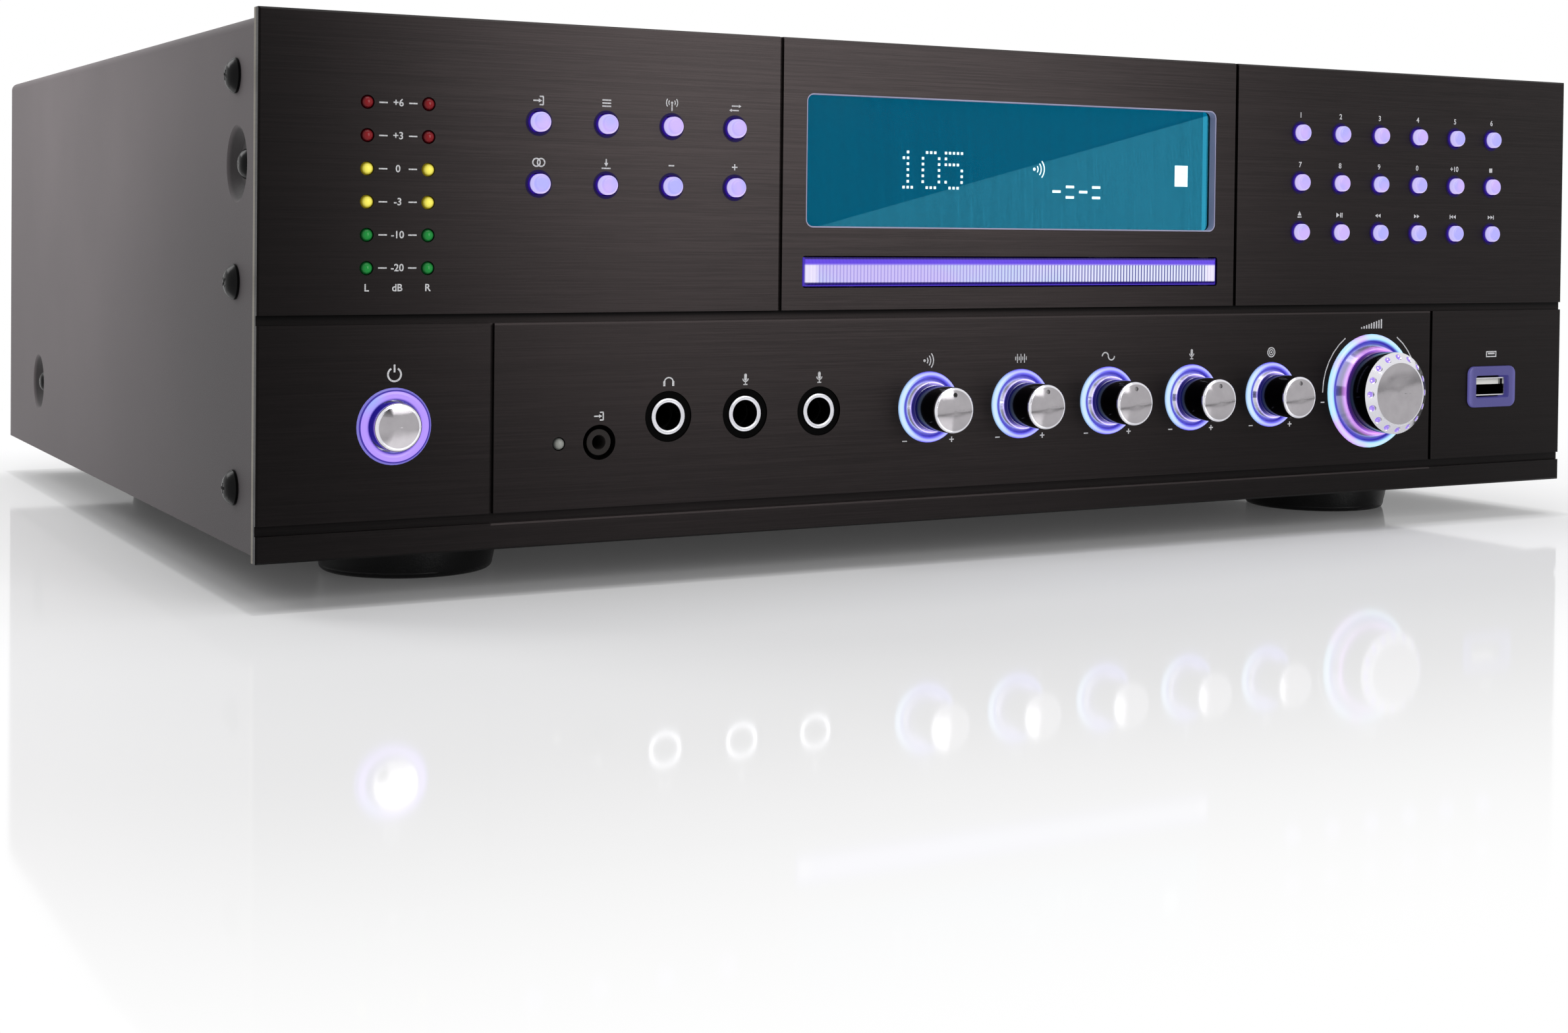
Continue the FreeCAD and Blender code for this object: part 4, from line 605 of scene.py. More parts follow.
def lamp_lenses():
    """Coloured lenses, two rows of each colour, and a grey pilot lens, with painted light where they face
    ahead and painted shade towards their rims.
    """
    finish = new_finish("lamp_lenses")
    x, _, z = finish.axes()
    row = (sill + lamp_top - z) / lamp_pitch

    def by_row(red, yellow, green, pilot):
        colour = finish.mix(row > yellow_row, red, yellow)
        colour = finish.mix(row > green_row, colour, green)
        return finish.mix(x > pilot_side, colour, pilot)

    # Painted light and shade on every lens: pale where it faces ahead, darker towards its rim
    ahead = finish.fade(0 - finish.facing()[1], 0.35, 0.98)
    edge = by_row(tone(38, 0, 4), tone(112, 100, 14), tone(4, 52, 20), tone(70, 72, 70))
    dome = by_row(tone(116, 0, 10), tone(216, 206, 80), tone(8, 126, 48), tone(150, 152, 146))
    body = finish.mix(ahead, edge, dome)
    dim = finish.mix(0.7, body, black)
    return finish.surface({
        "Base Color": body,
        "Roughness": 0.12 + finish.noise(900) * 0.06,
        "Specular IOR Level": 0.22,
        "Emission Color": by_row(dim, finish.mix(0.45, body, black), dim, black),
        "Emission Strength": 1.0,
    })


def lit_places(finish):
    """Place round the nearest lit control, across and up from its middle and as a radius, with 1 for the
    master knob and 1 for the power button."""
    x, _, z = finish.axes()
    first, row = middle(small_knobs[0])
    step = (middle(small_knobs[-1])[0] - first) / (len(small_knobs) - 1)
    from_master = x - middle("master_knob")[0]
    from_power = x - middle("power_button")[0]
    is_master = between(from_master, -master_reach, master_reach)
    is_power = from_power < power_reach
    small = (x - (first - step / 2)) % step - step / 2
    across = small + is_power * (from_power - small) + is_master * (from_master - small)
    up = z - row
    return across, up, finish.span(across, up), is_master, is_power


def lit_rings():
    """Frosted rings and a frame, lit from behind: bright along each band and deep blue at its edges."""
    finish = new_finish("lit_rings")
    across, up, radius, is_master, is_power = lit_places(finish)
    x, y, _ = finish.axes()

    def by_ring(small, master, power):
        return small + is_power * (power - small) + is_master * (master - small)

    band, half = [by_ring(*sizes) for sizes in zip(small_band, master_band, power_band)]
    place = (radius - band) / half
    left = finish.fade(0 - across / band, 0.15, 0.95)
    high = finish.fade(up / band, 0.2, 1.0)
    drift = finish.fade(finish.noise(85, 1.0), 0.38, 0.62)
    small_colour = finish.mix(left, tone(122, 116, 255), tone(186, 226, 255))
    master_colour = finish.mix(drift, tone(170, 234, 255), tone(216, 168, 255))
    power_colour = finish.mix(high * left, tone(178, 144, 252), tone(140, 184, 252))
    colour = finish.mix(is_master, small_colour, master_colour)
    colour = finish.mix(is_power, colour, power_colour)
    is_knob = 1 - is_power
    colour = finish.mix(finish.fade(abs(place - 0.15), 0.6, 0.1) * is_knob * 0.5, colour, tone(226, 236, 255))
    colour = finish.mix(finish.fade(place, -0.3, -0.75) * is_knob * 0.8, colour, tone(70, 64, 216))
    colour = finish.mix(finish.fade(1 - abs(place), 0, 0.42), tone(36, 22, 150), colour)
    colour = finish.mix(finish.fade(abs(place - 0.5), 0.16, 0.1) * is_power, colour, tone(44, 16, 150))
    colour = finish.mix((place > 0.64) * is_power, colour, tone(118, 112, 200))
    from_usb = x - middle("usb_socket")[0]
    frame_colour = finish.mix(finish.fade(abs(from_usb), *frame_fade), tone(62, 59, 118), tone(86, 83, 144))
    colour = finish.mix(from_usb > -frame_reach, colour, frame_colour)
    return finish.surface({
        "Base Color": tone(18, 14, 60),
        "Roughness": 0.25 + drift * 0.1,
        "Emission Color": finish.mix(finish.fade(y - face, *unlit_fade), colour, black),
        "Emission Strength": 1.0,
    })


def bezel_plate():
    """Bright plate on bezels and jack sleeves. Along their rims the bezels carry a painted reflection of
    their rings' light, as emission.
    """
    finish = new_finish("bezel_plate")
    _, _, radius, is_master, _ = lit_places(finish)
    x, _, _ = finish.axes()
    haze = finish.noise(500)
    collars = zip(small_collar, master_collar)
    bore, width = [small + is_master * (master - small) for small, master in collars]
    share = (radius - bore) / width
    # Painted reflection of the rings' light: emission on the bezels, blue-violet down the slope and pale at
    # the rim
    slope = finish.mix(finish.fade(share, 0.45, 0.95), tone(92, 90, 112), tone(84, 84, 190))
    rim = finish.mix(is_master, tone(186, 170, 255), tone(222, 150, 255))
    painted_glow = finish.mix(finish.fade(share, 0.34 + is_master * 0.2, 0.2), slope, rim)
    is_bezel = x > middle(small_knobs[0])[0] - knob_sign_rise
    plate = finish.mix(haze, tone(206, 206, 212), tone(226, 226, 232))
    return finish.surface({
        "Base Color": finish.mix(is_master * 0.7, plate, tone(104, 96, 146)),
        "Metallic": 1.0,
        "Roughness": 0.08 + haze * 0.1,
        "Emission Color": finish.mix(is_bezel, black, painted_glow),
        "Emission Strength": 0.75,
    })


def socket_moulding():
    """Black jack sockets, grey round the bore of the small one."""
    finish = new_finish("socket_moulding")
    x, _, z = finish.axes()
    ring = between(finish.span(x - aux_place[0], z - aux_place[1]), *aux_ring)
    grain = finish.noise(1700)
    return finish.surface({
        "Base Color": finish.mix(ring, finish.mix(grain, tone(2, 2, 2), tone(5, 5, 5)), tone(50, 47, 46)),
        "Roughness": 0.4 + grain * 0.14,
        "Specular IOR Level": 0.02,
    })


def usb_parts():
    """Bright steel shell with painted shade within it, and a white tongue."""
    finish = new_finish("usb_parts")
    _, y, z = finish.axes()
    depth = y - face
    haze = finish.noise((200, 200, 2000), 3.0, 0.6)
    tongue = between(z - middle("usb_socket")[1], *tongue_span) * (depth > tongue_depth)
    # Painted shade inside the shell, behind its rim
    inside = (depth > shell_rim_depth) * (1 - tongue)
    steel = finish.mix(haze, tone(188, 188, 192), tone(220, 220, 224))
    colour = finish.mix(inside, steel, tone(34, 32, 36))
    return finish.surface({
        "Base Color": finish.mix(tongue, colour, tone(226, 226, 220)),
        "Metallic": 1 - tongue,
        "Roughness": 0.14 + haze * 0.14 + tongue * 0.2,
    })


def lit_bar():
    """Clear ribbed bar lit from its ends: violet along the top, pale on the ribs, brightest at the ends."""
    finish = new_finish("lit_bar")
    x, y, z = finish.axes()
    low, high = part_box("tray_front")
    inward = high.x - abs(x)
    down = high.z - z
    over = z - low.z
    cloud = finish.noise((30, 30, 60))
    rightward = finish.fade(x, -high.x * 0.5, high.x * 0.6)
    valley = finish.fade(abs(x / rib_pitch % 1.0 - 0.5), 0.24, 0.1)
    crest = finish.mix(rightward, tone(206, 194, 246), tone(232, 236, 255))
    crest = finish.mix(finish.fade(cloud, 0.42, 0.66) * 0.5, crest, tone(186, 222, 244))
    groove = finish.mix(rightward, tone(120, 104, 206), tone(56, 62, 140))
    ribs = finish.mix(valley * (0.5 + rightward * 0.5), crest, groove)
    ribs = finish.mix(finish.fade(inward, *bar_end_fade) * 0.85, ribs, tone(242, 234, 255))
    strip = finish.mix(cloud, tone(78, 44, 216), tone(112, 78, 240))
    glint = finish.fade(abs(down - bar_line_drop), *bar_line_fade)
    strip = finish.mix(glint * 0.6, strip, tone(166, 146, 246))
    colour = finish.mix(finish.fade(down, *bar_shelf_fade), ribs, strip)
    colour = finish.mix(finish.fade(down, *bar_top_fade), colour, tone(26, 4, 96))
    colour = finish.mix(finish.fade(over, *bar_lip_fade), colour, tone(26, 8, 104))
    colour = finish.mix(finish.fade(over, *bar_foot_fade), colour, tone(84, 62, 206))
    colour = finish.mix(finish.fade(inward, *bar_tip_fade), colour, tone(60, 34, 180))
    return finish.surface({
        "Base Color": finish.mix(valley, tone(36, 32, 64), tone(20, 16, 44)),
        "Roughness": 0.14 + cloud * 0.08,
        "Specular IOR Level": 0.3,
        "Emission Color": finish.mix(finish.fade(y - face, *bar_depth_fade), colour, tone(20, 10, 70)),
        "Emission Strength": 0.95,
    })


def lit_caps():
    """Milky lit button caps: lavender, paler at the edge, with a painted highlight where they face right and
    down, and indigo next to the panel.
    """
    finish = new_finish("lit_caps")
    _, y, _ = finish.axes()
    across, along, up = finish.facing()
    cloud = finish.noise(140)
    colour = finish.mix(finish.fade(cloud, 0.35, 0.65), tone(172, 172, 250), tone(204, 178, 246))
    colour = finish.mix(finish.fade(0 - along, 0.98, 0.5) * 0.6, colour, tone(222, 212, 255))
    # Painted highlight on the sides of the caps that face right and down
    colour = finish.mix(finish.fade(across - up, 0.25, 0.9) * 0.6, colour, tone(240, 218, 255))
    colour = finish.mix(finish.fade(y - face, *cap_foot_fade), colour, tone(40, 14, 130))
    return finish.surface({
        "Base Color": tone(60, 52, 104),
        "Roughness": 0.28 + cloud * 0.1,
        "Emission Color": finish.mix(finish.fade(y - face, *unlit_fade), colour, black),
        "Emission Strength": 0.92,
    })


def turned_plate(name, sizes, flank, grain=0.06, painted_glow=None, dot=None, dimpled=False):
    """Plated knob: fine turning rings on its face, a painted highlight along its rim, a flank of its own tone
    behind the cap with a painted glow of the rings' light at its foot, and a painted dot, or dimples with a
    painted reflection of that light, where it has them."""
    finish = new_finish("plate_" + name)
    x, y, z = finish.axes()
    rim, cap = sizes
    knob_x, knob_z = middle(name)
    across = x - knob_x
    up = z - knob_z
    reach = finish.span(across, up)
    turning = finish.math("SINE", reach * turning_density)
    haze = finish.noise(300, 3.0)
    on_cap = finish.fade(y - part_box(name)[0].y, cap + cap_edge, cap)
    face_tone = finish.mix(haze, tone(158, 154, 158), tone(176, 173, 176))
    # Painted highlight along the rim of the cap
    face_tone = finish.mix(finish.fade(reach, rim - rim_highlight_width, rim), face_tone, tone(226, 225, 231))
    colour = finish.mix(on_cap, flank, face_tone)
    sockets = {"Metallic": 1.0, "Roughness": 0.09 + on_cap * (grain / 2 - 0.06 + haze * grain)}
    # Painted glow of the rings' light on the flank, towards its foot
    if painted_glow:
        sockets["Emission Color"] = finish.mix(finish.fade(y - face, -painted_foot_glow, 0), black, painted_glow)
        sockets["Emission Strength"] = 0.7
    if dot:
        mark = finish.fade(finish.span(across, up - dot_rise), *dot_fade) * on_cap
        colour = finish.mix(mark, colour, dot)
        sockets["Metallic"] = 1 - mark
    if dimpled:
        # Painted reflection of the rings' light in the dimples, in colour and as emission
        around = finish.math("ARCTAN2", up, across) * (dimple_count / full_turn)
        aside = abs((around + 0.5) % 1.0 - 0.5) * (full_turn * dimple_ring / dimple_count)
        lit = finish.fade(finish.span(aside, (reach - dimple_ring) * dimple_squash_share), *dimple_fade)
        colour = finish.mix(lit, colour, tone(150, 128, 206))
        sockets["Emission Color"] = finish.mix(lit, sockets["Emission Color"], tone(112, 88, 176))
    sockets["Base Color"] = colour
    sockets["Normal"] = finish.bump(turning * on_cap, turned_grain)
    return finish.surface(sockets)


def gold_jacks():
    """Gold-plated phono shells with white and red insulators by row, on a black block."""
    finish = new_finish("gold_jacks")
    _, y, z = finish.axes()
    haze = finish.noise(500)
    gold = finish.mix(haze, tone(206, 168, 92), tone(226, 192, 120))
    ring = finish.mix(z > middle("phono_jacks")[1], tone(190, 26, 30), tone(226, 224, 218))
    plastic = y < back + insulator_reach
    return finish.surface({
        "Base Color": finish.mix(plastic, gold, ring),
        "Metallic": 1 - plastic,
        "Roughness": 0.2 + haze * 0.12,
    })


def terminal_caps():
    """Fluted terminal caps, red and black by column."""
    finish = new_finish("terminal_caps")
    x, _, _ = finish.axes()
    low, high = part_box("speaker_terminals")
    column = (x - low.x) / ((high.x - low.x) / terminal_posts)
    is_red = finish.math("FLOOR", column) % 2.0
    haze = finish.noise(700)
    dark = finish.mix(haze, tone(14, 14, 15), tone(24, 24, 26))
    red = finish.mix(haze, tone(150, 12, 16), tone(176, 22, 26))
    return finish.surface({
        "Base Color": finish.mix(is_red, dark, red),
        "Roughness": 0.26 + haze * 0.12,
        "Coat Weight": 0.2,
    })


def inlet_moulding():
    """Black inlet with plated blades."""
    finish = new_finish("inlet_moulding")
    x, y, z = finish.axes()
    inlet_x, inlet_z = middle("mains_inlet")
    across = abs(x - inlet_x)
    up = z - inlet_z
    outer = (abs(across - blade_across) < blade_half_width) * (abs(up + blade_rise) < blade_half_height)
    inner = (across < blade_half_width) * (abs(up - blade_rise) < blade_half_height)
    blade = (outer + inner) * between(y - back, *blade_span)
    grain = finish.noise(1500)
    plastic = finish.mix(grain, tone(14, 14, 15), tone(26, 26, 27))
    return finish.surface({
        "Base Color": finish.mix(blade, plastic, tone(190, 190, 192)),
        "Metallic": blade,
        "Roughness": 0.32 + grain * 0.16,
        "Normal": finish.bump(grain, inlet_grain),
    })


def lacquered_board():
    """Green lacquer with copper tracks under it."""
    finish = new_finish("lacquered_board")
    tracks = finish.fade(abs(finish.cells(140) - 0.45), 0.04, 0.07)
    cloud = finish.noise(60)
    lacquer = finish.mix(cloud, tone(16, 74, 40), tone(24, 88, 48))
    return finish.surface({
        "Base Color": finish.mix(tracks, tone(58, 120, 72), lacquer),
        "Roughness": 0.3 + cloud * 0.15,
        "Coat Weight": 0.3,
    })


def enamelled_wire():
    """Wound enamelled copper."""
    finish = new_finish("enamelled_wire")
    x, y, _ = finish.axes()
    place = centre("transformer")
    turns = finish.math("SINE", finish.math("ARCTAN2", y - place.y, x - place.x) * wire_turns)
    haze = finish.noise(160)
    colour = finish.mix(finish.fade(turns, -0.8, 0.8), tone(92, 40, 18), tone(176, 92, 48))
    return finish.surface({
        "Base Color": finish.mix(haze * 0.4, colour, tone(120, 60, 30)),
        "Metallic": 0.7,
        "Roughness": 0.3 + haze * 0.15,
        "Normal": finish.bump(turns, wire_grain),
    })


def white_ink():
    """Screen-printed ink, slightly uneven."""
    finish = new_finish("white_ink")
    speck = finish.noise(2400)
    return finish.surface({
        "Base Color": finish.mix(finish.fade(speck, 0.3, 0.7), tone(178, 178, 180), tone(214, 214, 216)),
        "Roughness": 0.5 + speck * 0.2,
    })


def lit_figures():
    """Bright dots and signs of the display."""
    finish = new_finish("lit_figures")
    speck = finish.noise(1200)
    return finish.surface({
        "Base Color": tone(180, 210, 215),
        "Roughness": 0.4 + speck * 0.1,
        "Emission Color": finish.mix(finish.fade(speck, 0.3, 0.7), tone(206, 240, 240), tone(246, 255, 252)),
        "Emission Strength": 0.95,
    })


def indigo(name, low, high):
    """Surface with a painted glow of the buttons' light."""
    finish = new_finish(name)
    speck = finish.noise(700)
    return finish.surface({
        "Base Color": tone(8, 4, 24),
        "Roughness": 0.4 + speck * 0.1,
        "Specular IOR Level": 0.1,
        "Emission Color": finish.mix(speck, low, high),
        "Emission Strength": 0.8,
    })


def paint(finish, *names):
    for name in names:
        for slot in frame["nodes"][name].material_slots:
            slot.material = finish.block


paint(brushed_black(), "front_panel")
paint(taupe_paint(), "top_cover")
paint(grey_paint(), "chassis")
paint(moulding("foot_moulding", tone(14, 14, 15), tone(22, 22, 23), 0.26), "feet")
black_screw = moulding("black_screw", tone(5, 5, 6), tone(9, 9, 10), 0.14, 900, screw_grain, 0.1)
paint(black_screw, "case_screws")
paint(clear_pane(), "display_window")
paint(display_light(), "display_module")
paint(lamp_lenses(), "level_leds")
paint(lit_rings(), "light_rings")
paint(bezel_plate(), "trim_rings")
paint(socket_moulding(), "jack_sockets")
paint(usb_parts(), "usb_socket")
paint(lacquered_board(), "control_boards", "main_board")
paint(metal("control_steel", tone(150, 150, 152), tone(176, 176, 178), 0.2, 400), "rotary_controls")
paint(moulding("loader_moulding", tone(34, 34, 36), tone(44, 44, 46), 0.5), "disc_loader", "turntable")
paint(moulding("tray_moulding", tone(24, 24, 25), tone(32, 32, 33), 0.46, 2400, tray_grain), "disc_tray")
paint(lit_bar(), "tray_front")
paint(moulding("natural_nylon", tone(216, 214, 204), tone(228, 226, 216), 0.4), "drive_pinion")
paint(enamelled_wire(), "transformer")
paint(metal("raw_extrusion", tone(170, 170, 174), tone(196, 196, 200), 0.26, (30, 30, 900)), "heat_sink")
paint(moulding("fan_moulding", tone(14, 14, 15), tone(22, 22, 23), 0.42), "fan_frame", "fan_rotor")
paint(gold_jacks(), "phono_jacks")
paint(terminal_caps(), "speaker_terminals")
paint(inlet_moulding(), "mains_inlet")
navy = tone(40, 40, 54)
paint(turned_plate("power_button", power_face, tone(196, 196, 202), 0.02), "power_button")
paint(turned_plate("master_knob", master_face, navy, painted_glow=tone(120, 60, 220), dimpled=True), "master_knob")
for name in small_knobs:
    dot_tone = tone(16, 16, 16) if name == small_knobs[0] else tone(150, 148, 150)
    paint(turned_plate(name, small_face, navy, painted_glow=tone(20, 18, 120), dot=dot_tone), name)
paint(lit_caps(), *selectors, *keys)
ink_white = white_ink()


# Flat marks, made in the plane y = 0 as seen from the front: u to the right and v up. Their thickness
# goes round a few shares, so that marks that cross have no face in common.
layer_shares = itertools.cycle((1.0, 1.15, 1.3, 1.45, 1.6))


def stroke(mesh, u, v, width, height):
    made = bmesh.ops.create_cube(mesh, size=1)
    place = Matrix.Translation((u, 0, v)) @ Matrix.Diagonal((width, ink * next(layer_shares), height, 1))
    bmesh.ops.transform(mesh, matrix=place, verts=made["verts"])


def disc(mesh, u, v, radius, sides=disc_sides, turn=0):
    """Disc, or a triangle with three sides, with its first corner towards the turn."""
    made = bmesh.ops.create_cone(mesh, cap_ends=True, segments=sides, radius1=radius, radius2=radius,
                                 depth=ink * next(layer_shares))
    place = Matrix.Translation((u, 0, v)) @ Matrix.Rotation(quarter_turn, 4, "X")
    spin = Matrix.Rotation(turn - quarter_turn, 4, "Z")
    bmesh.ops.transform(mesh, matrix=place @ spin, verts=made["verts"])


def touching(verts, kind):
    """Edges or faces at some vertices, each once."""
    return list(dict.fromkeys(part for vert in verts for part in getattr(vert, kind)))


def arc(mesh, u, v, radius, width, start, turn):
    """Band along an arc, anticlockwise from a start direction."""
    made = bmesh.ops.create_grid(mesh, x_segments=1, y_segments=1, size=0.5)
    aim = Matrix.Translation((u, 0, v)) @ Matrix.Rotation(-start, 4, "Y")
    size = Matrix.Diagonal((width, ink * next(layer_shares), 1, 1))
    place = aim @ Matrix.Translation((radius, 0, 0)) @ size
    bmesh.ops.transform(mesh, matrix=place, verts=made["verts"])
    full = turn == full_turn
    faces = touching(made["verts"], "link_faces")
    geom = touching(made["verts"], "link_edges") + made["verts"]
    if full:
        bmesh.ops.delete(mesh, geom=faces, context="FACES_ONLY")
    else:
        geom = faces + geom
    steps = max(fewest_arc_steps, round(turn / arc_step))
    bmesh.ops.spin(mesh, geom=geom, cent=(u, 0, v), axis=(0, -1, 0), angle=turn, steps=steps, use_merge=full)


def words(mesh, text, u, v, height):
    """Figures from Blender's own lettering."""
    curve = bpy.data.curves.new("lettering", "FONT")
    curve.body = text
    curve.size = height / capital_share
    curve.align_x = "CENTER"
    curve.align_y = "CENTER"
    curve.extrude = ink / 2
    curve.offset = line * letter_weight_share
    curve.resolution_u = letter_steps
    holder = bpy.data.objects.new("lettering", curve)
    flat = bpy.data.meshes.new_from_object(holder)
    flat.transform(Matrix.Translation((u, 0, v)) @ Matrix.Rotation(quarter_turn, 4, "X"))
    mesh.from_mesh(flat)
    bpy.data.meshes.remove(flat)
    bpy.data.objects.remove(holder)
    bpy.data.curves.remove(curve)


def linked(name, data):
    """Object in the scene."""
    made = bpy.data.objects.new(name, data)
    bpy.context.scene.collection.objects.link(made)
    return made


def dressed(name, mesh, finish):
    """Object from a finished mesh."""
    data = bpy.data.meshes.new(name)
    mesh.to_mesh(data)
    mesh.free()
    data.materials.append(finish.block)
    return linked(name, data)


def piece(name, mesh, finish):
    """Piece of the case from a finished mesh."""
    bmesh.ops.recalc_face_normals(mesh, faces=mesh.faces)
    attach(dressed(name, mesh, finish), "case")


def printed(name, mesh, finish=ink_white, depth=face - ink / 2):
    """Puts flat marks on the front panel, or at another depth."""
    bmesh.ops.translate(mesh, vec=(0, depth, 0), verts=mesh.verts)
    piece(name, mesh, finish)


# Signs, and the directions of their arrows in degrees
RIGHT = 0
UP = 90
LEFT = 180
DOWN = 270


class Sign:
    """Marks round the middle of a sign. Places and lengths are shares of its size, weights are shares of a
    line's width, and directions are in degrees, anticlockwise from the right."""

    def __init__(self, mesh, u, v, size):
        self.mesh = mesh
        self.u = u
        self.v = v
        self.size = size

    def place(self, across, up):
        return self.u + across * self.size, self.v + up * self.size

    def block(self, across, up, width, height):
        stroke(self.mesh, *self.place(across, up), width * self.size, height * self.size)

    def level(self, across, up, length, weight=1):
        stroke(self.mesh, *self.place(across, up), length * self.size, line * weight)

    def upright(self, across, up, length, weight=1):
        stroke(self.mesh, *self.place(across, up), line * weight, length * self.size)

    def dot(self, across, up, radius):
        disc(self.mesh, *self.place(across, up), radius * self.size)

    def arrow(self, across, up, radius, turn):
        disc(self.mesh, *self.place(across, up), radius * self.size, 3, math.radians(turn))

    def band(self, across, up, radius, start=0, turn=360, weight=1):
        sweep = (math.radians(start), math.radians(turn))
        arc(self.mesh, *self.place(across, up), radius * self.size, line * weight, *sweep)


def power_sign(sign):
    sign.band(0, -0.06, 0.4, 120, 300, 1.3)
    sign.upright(0, 0.3, 0.46, 1.3)


def phones_sign(sign):
    sign.band(0, -0.1, 0.42, 0, 180)
    for side in (-1, 1):
        sign.block(side * 0.42, -0.2, 0.2, 0.42)


def microphone_sign(sign):
    sign.block(0, 0.18, 0.26, 0.36)
    sign.dot(0, 0.36, 0.13)
    sign.dot(0, 0, 0.13)
    sign.band(0, 0.06, 0.26, 180, 180, 0.8)
    sign.upright(0, -0.32, 0.26, 0.8)
    sign.level(0, -0.46, 0.4, 0.8)


def echo_sign(sign):
    sign.dot(-0.5, 0, 0.13)
    for radius in (0.36, 0.66, 0.96):
        sign.band(-0.5, 0, radius, -42, 84)


def treble_sign(sign):
    for index in range(7):
        sign.upright((index - 3) * 0.2, 0, 0.34 + 0.5 * (index % 2), 0.8)


def bass_sign(sign):
    for side, start in ((-1, 0), (1, 180)):
        sign.band(side * 0.36, 0, 0.36, start, 180, 1.1)


def speaker_sign(sign):
    sign.band(0, 0, 0.46)
    sign.band(0, 0, 0.26, weight=0.8)
    sign.dot(0, 0, 0.1)


def level_sign(sign):
    """Rising bars."""
    for index in range(9):
        height = 0.16 + 0.1 * index
        sign.block((index - 4) * 0.34, height / 2 - 0.5, 0.17, height)


def input_sign(sign):
    sign.upright(0.42, 0, 0.8)
    for side in (-1, 1):
        sign.level(0.24, side * 0.4, 0.4)
    sign.level(-0.32, 0, 0.6)
    sign.arrow(0.06, 0, 0.231, RIGHT)


def list_sign(sign):
    for rise in (-1, 0, 1):
        sign.level(0, rise * 0.3, 0.95)


def mast_sign(sign):
    sign.upright(0, -0.1, 0.85)
    sign.dot(0, 0.3, 0.12)
    for radius in (0.36, 0.62):
        for start in (-38, 142):
            sign.band(0, 0.3, radius, start, 76, 0.8)


def loop_sign(sign):
    for side, turn in ((-1, LEFT), (1, RIGHT)):
        sign.level(0, side * 0.22, 0.8)
        sign.arrow(side * 0.5, side * 0.22, 0.189, turn)


def twin_sign(sign):
    for side in (-1, 1):
        sign.band(side * 0.24, 0, 0.38)


def store_sign(sign):
    sign.arrow(0, -0.02, 0.252, DOWN)
    sign.upright(0, 0.3, 0.4)
    sign.level(0, -0.42, 0.95)


def minus_sign(sign):
    sign.level(0, 0, 0.62)


def plus_sign(sign):
    minus_sign(sign)
    sign.upright(0, 0, 0.62)


def stop_sign(sign):
    sign.block(0, 0, 0.55, 0.55)


def eject_sign(sign):
    sign.arrow(0, 0.06, 0.357, UP)
    sign.level(0, -0.32, 0.66)


def play_sign(sign):
    sign.arrow(-0.32, 0, 0.357, RIGHT)
    for across in (0.2, 0.46):
        sign.upright(across, 0, 0.6)


def wind_sign(sign, turn, stop):
    """Two arrows, with a bar after them for the next or last track."""
    for across in (-0.28, 0.28):
        sign.arrow(across, 0, 0.336, turn)
    if stop:
        sign.upright(0.72 if turn == RIGHT else -0.72, 0, 0.62)


def plug_sign(sign):
    """Flat plug seen from its end."""
    for side in (-1, 1):
        sign.level(0, side * 0.26, 1.4)
        sign.upright(side * 0.7, 0, 0.6333)
    sign.block(0, 0.06, 1, 0.16)


# Printing beside the level lamps
marks = bmesh.new()
between_lamps = sum(lamp_columns) / 2
for index, figure in enumerate(lamp_figures):
    level = sill + lamp_top - index * lamp_pitch
    words(marks, figure, between_lamps, level, figure_height)
    for column in lamp_columns:
        side = 1 if column < between_lamps else -1
        stroke(marks, column + side * lamp_dash_inset, level, lamp_dash, line)
for caption, column in zip(("L", "dB", "R"), (lamp_columns[0], between_lamps, lamp_columns[1])):
    words(marks, caption, column, level - lamp_caption_drop, figure_height)
printed("scale_printing", marks)

# Printing over the selector buttons
marks = bmesh.new()
selector_signs = [input_sign, list_sign, mast_sign, loop_sign, twin_sign, store_sign, minus_sign, plus_sign]
for name, draw in zip(selectors, selector_signs):
    x, z = middle(name)
    draw(Sign(marks, x, z + button_sign_rise, selector_sign_size))
printed("selector_printing", marks)

# Printing over the keypad: figures, signs, and arrows without and with a bar
marks = bmesh.new()
key_figures = [*"1234567890", "+10"]
key_signs = [stop_sign, eject_sign, play_sign]
key_arrows = [(LEFT, False), (RIGHT, False), (LEFT, True), (RIGHT, True)]
for name, caption in zip(keys, key_figures + key_signs + key_arrows):
    x, z = middle(name)
    level = z + button_sign_rise
    if caption in key_figures:
        words(marks, caption, x, level, key_figure_height)
    elif caption in key_signs:
        caption(Sign(marks, x, level, key_sign_size))
    else:
        wind_sign(Sign(marks, x, level, wind_sign_size), *caption)
printed("keypad_printing", marks)

# Printing round the lower controls
marks = bmesh.new()
x, z = middle("power_button")
power_sign(Sign(marks, x, z + power_sign_rise, power_sign_size))
for name, draw in zip(jacks, (phones_sign, microphone_sign, microphone_sign)):
    draw(Sign(marks, mounts[name].x, mounts[name].z + jack_sign_rise, sign_size))
input_sign(Sign(marks, aux_place[0], aux_place[1] + aux_sign_rise, aux_sign_size))
knob_signs = [echo_sign, treble_sign, bass_sign, microphone_sign, speaker_sign]
for name, draw in zip(small_knobs, knob_signs):
    x, z = middle(name)
    draw(Sign(marks, x, z + knob_sign_rise, sign_size))
    minus_sign(Sign(marks, x - knob_mark_reach, z - knob_mark_drop, knob_mark_size))
    plus_sign(Sign(marks, x + knob_mark_reach, z - knob_mark_drop, knob_mark_size))
x, z = middle("master_knob")
level_sign(Sign(marks, x, z + master_sign_rise, sign_size))
for start in (0, half_turn - master_arc_turn):
    arc(marks, x, z, master_arc_radius, line, start, master_arc_turn)
minus_sign(Sign(marks, x - master_arc_radius, z - master_mark_drop, knob_mark_size))
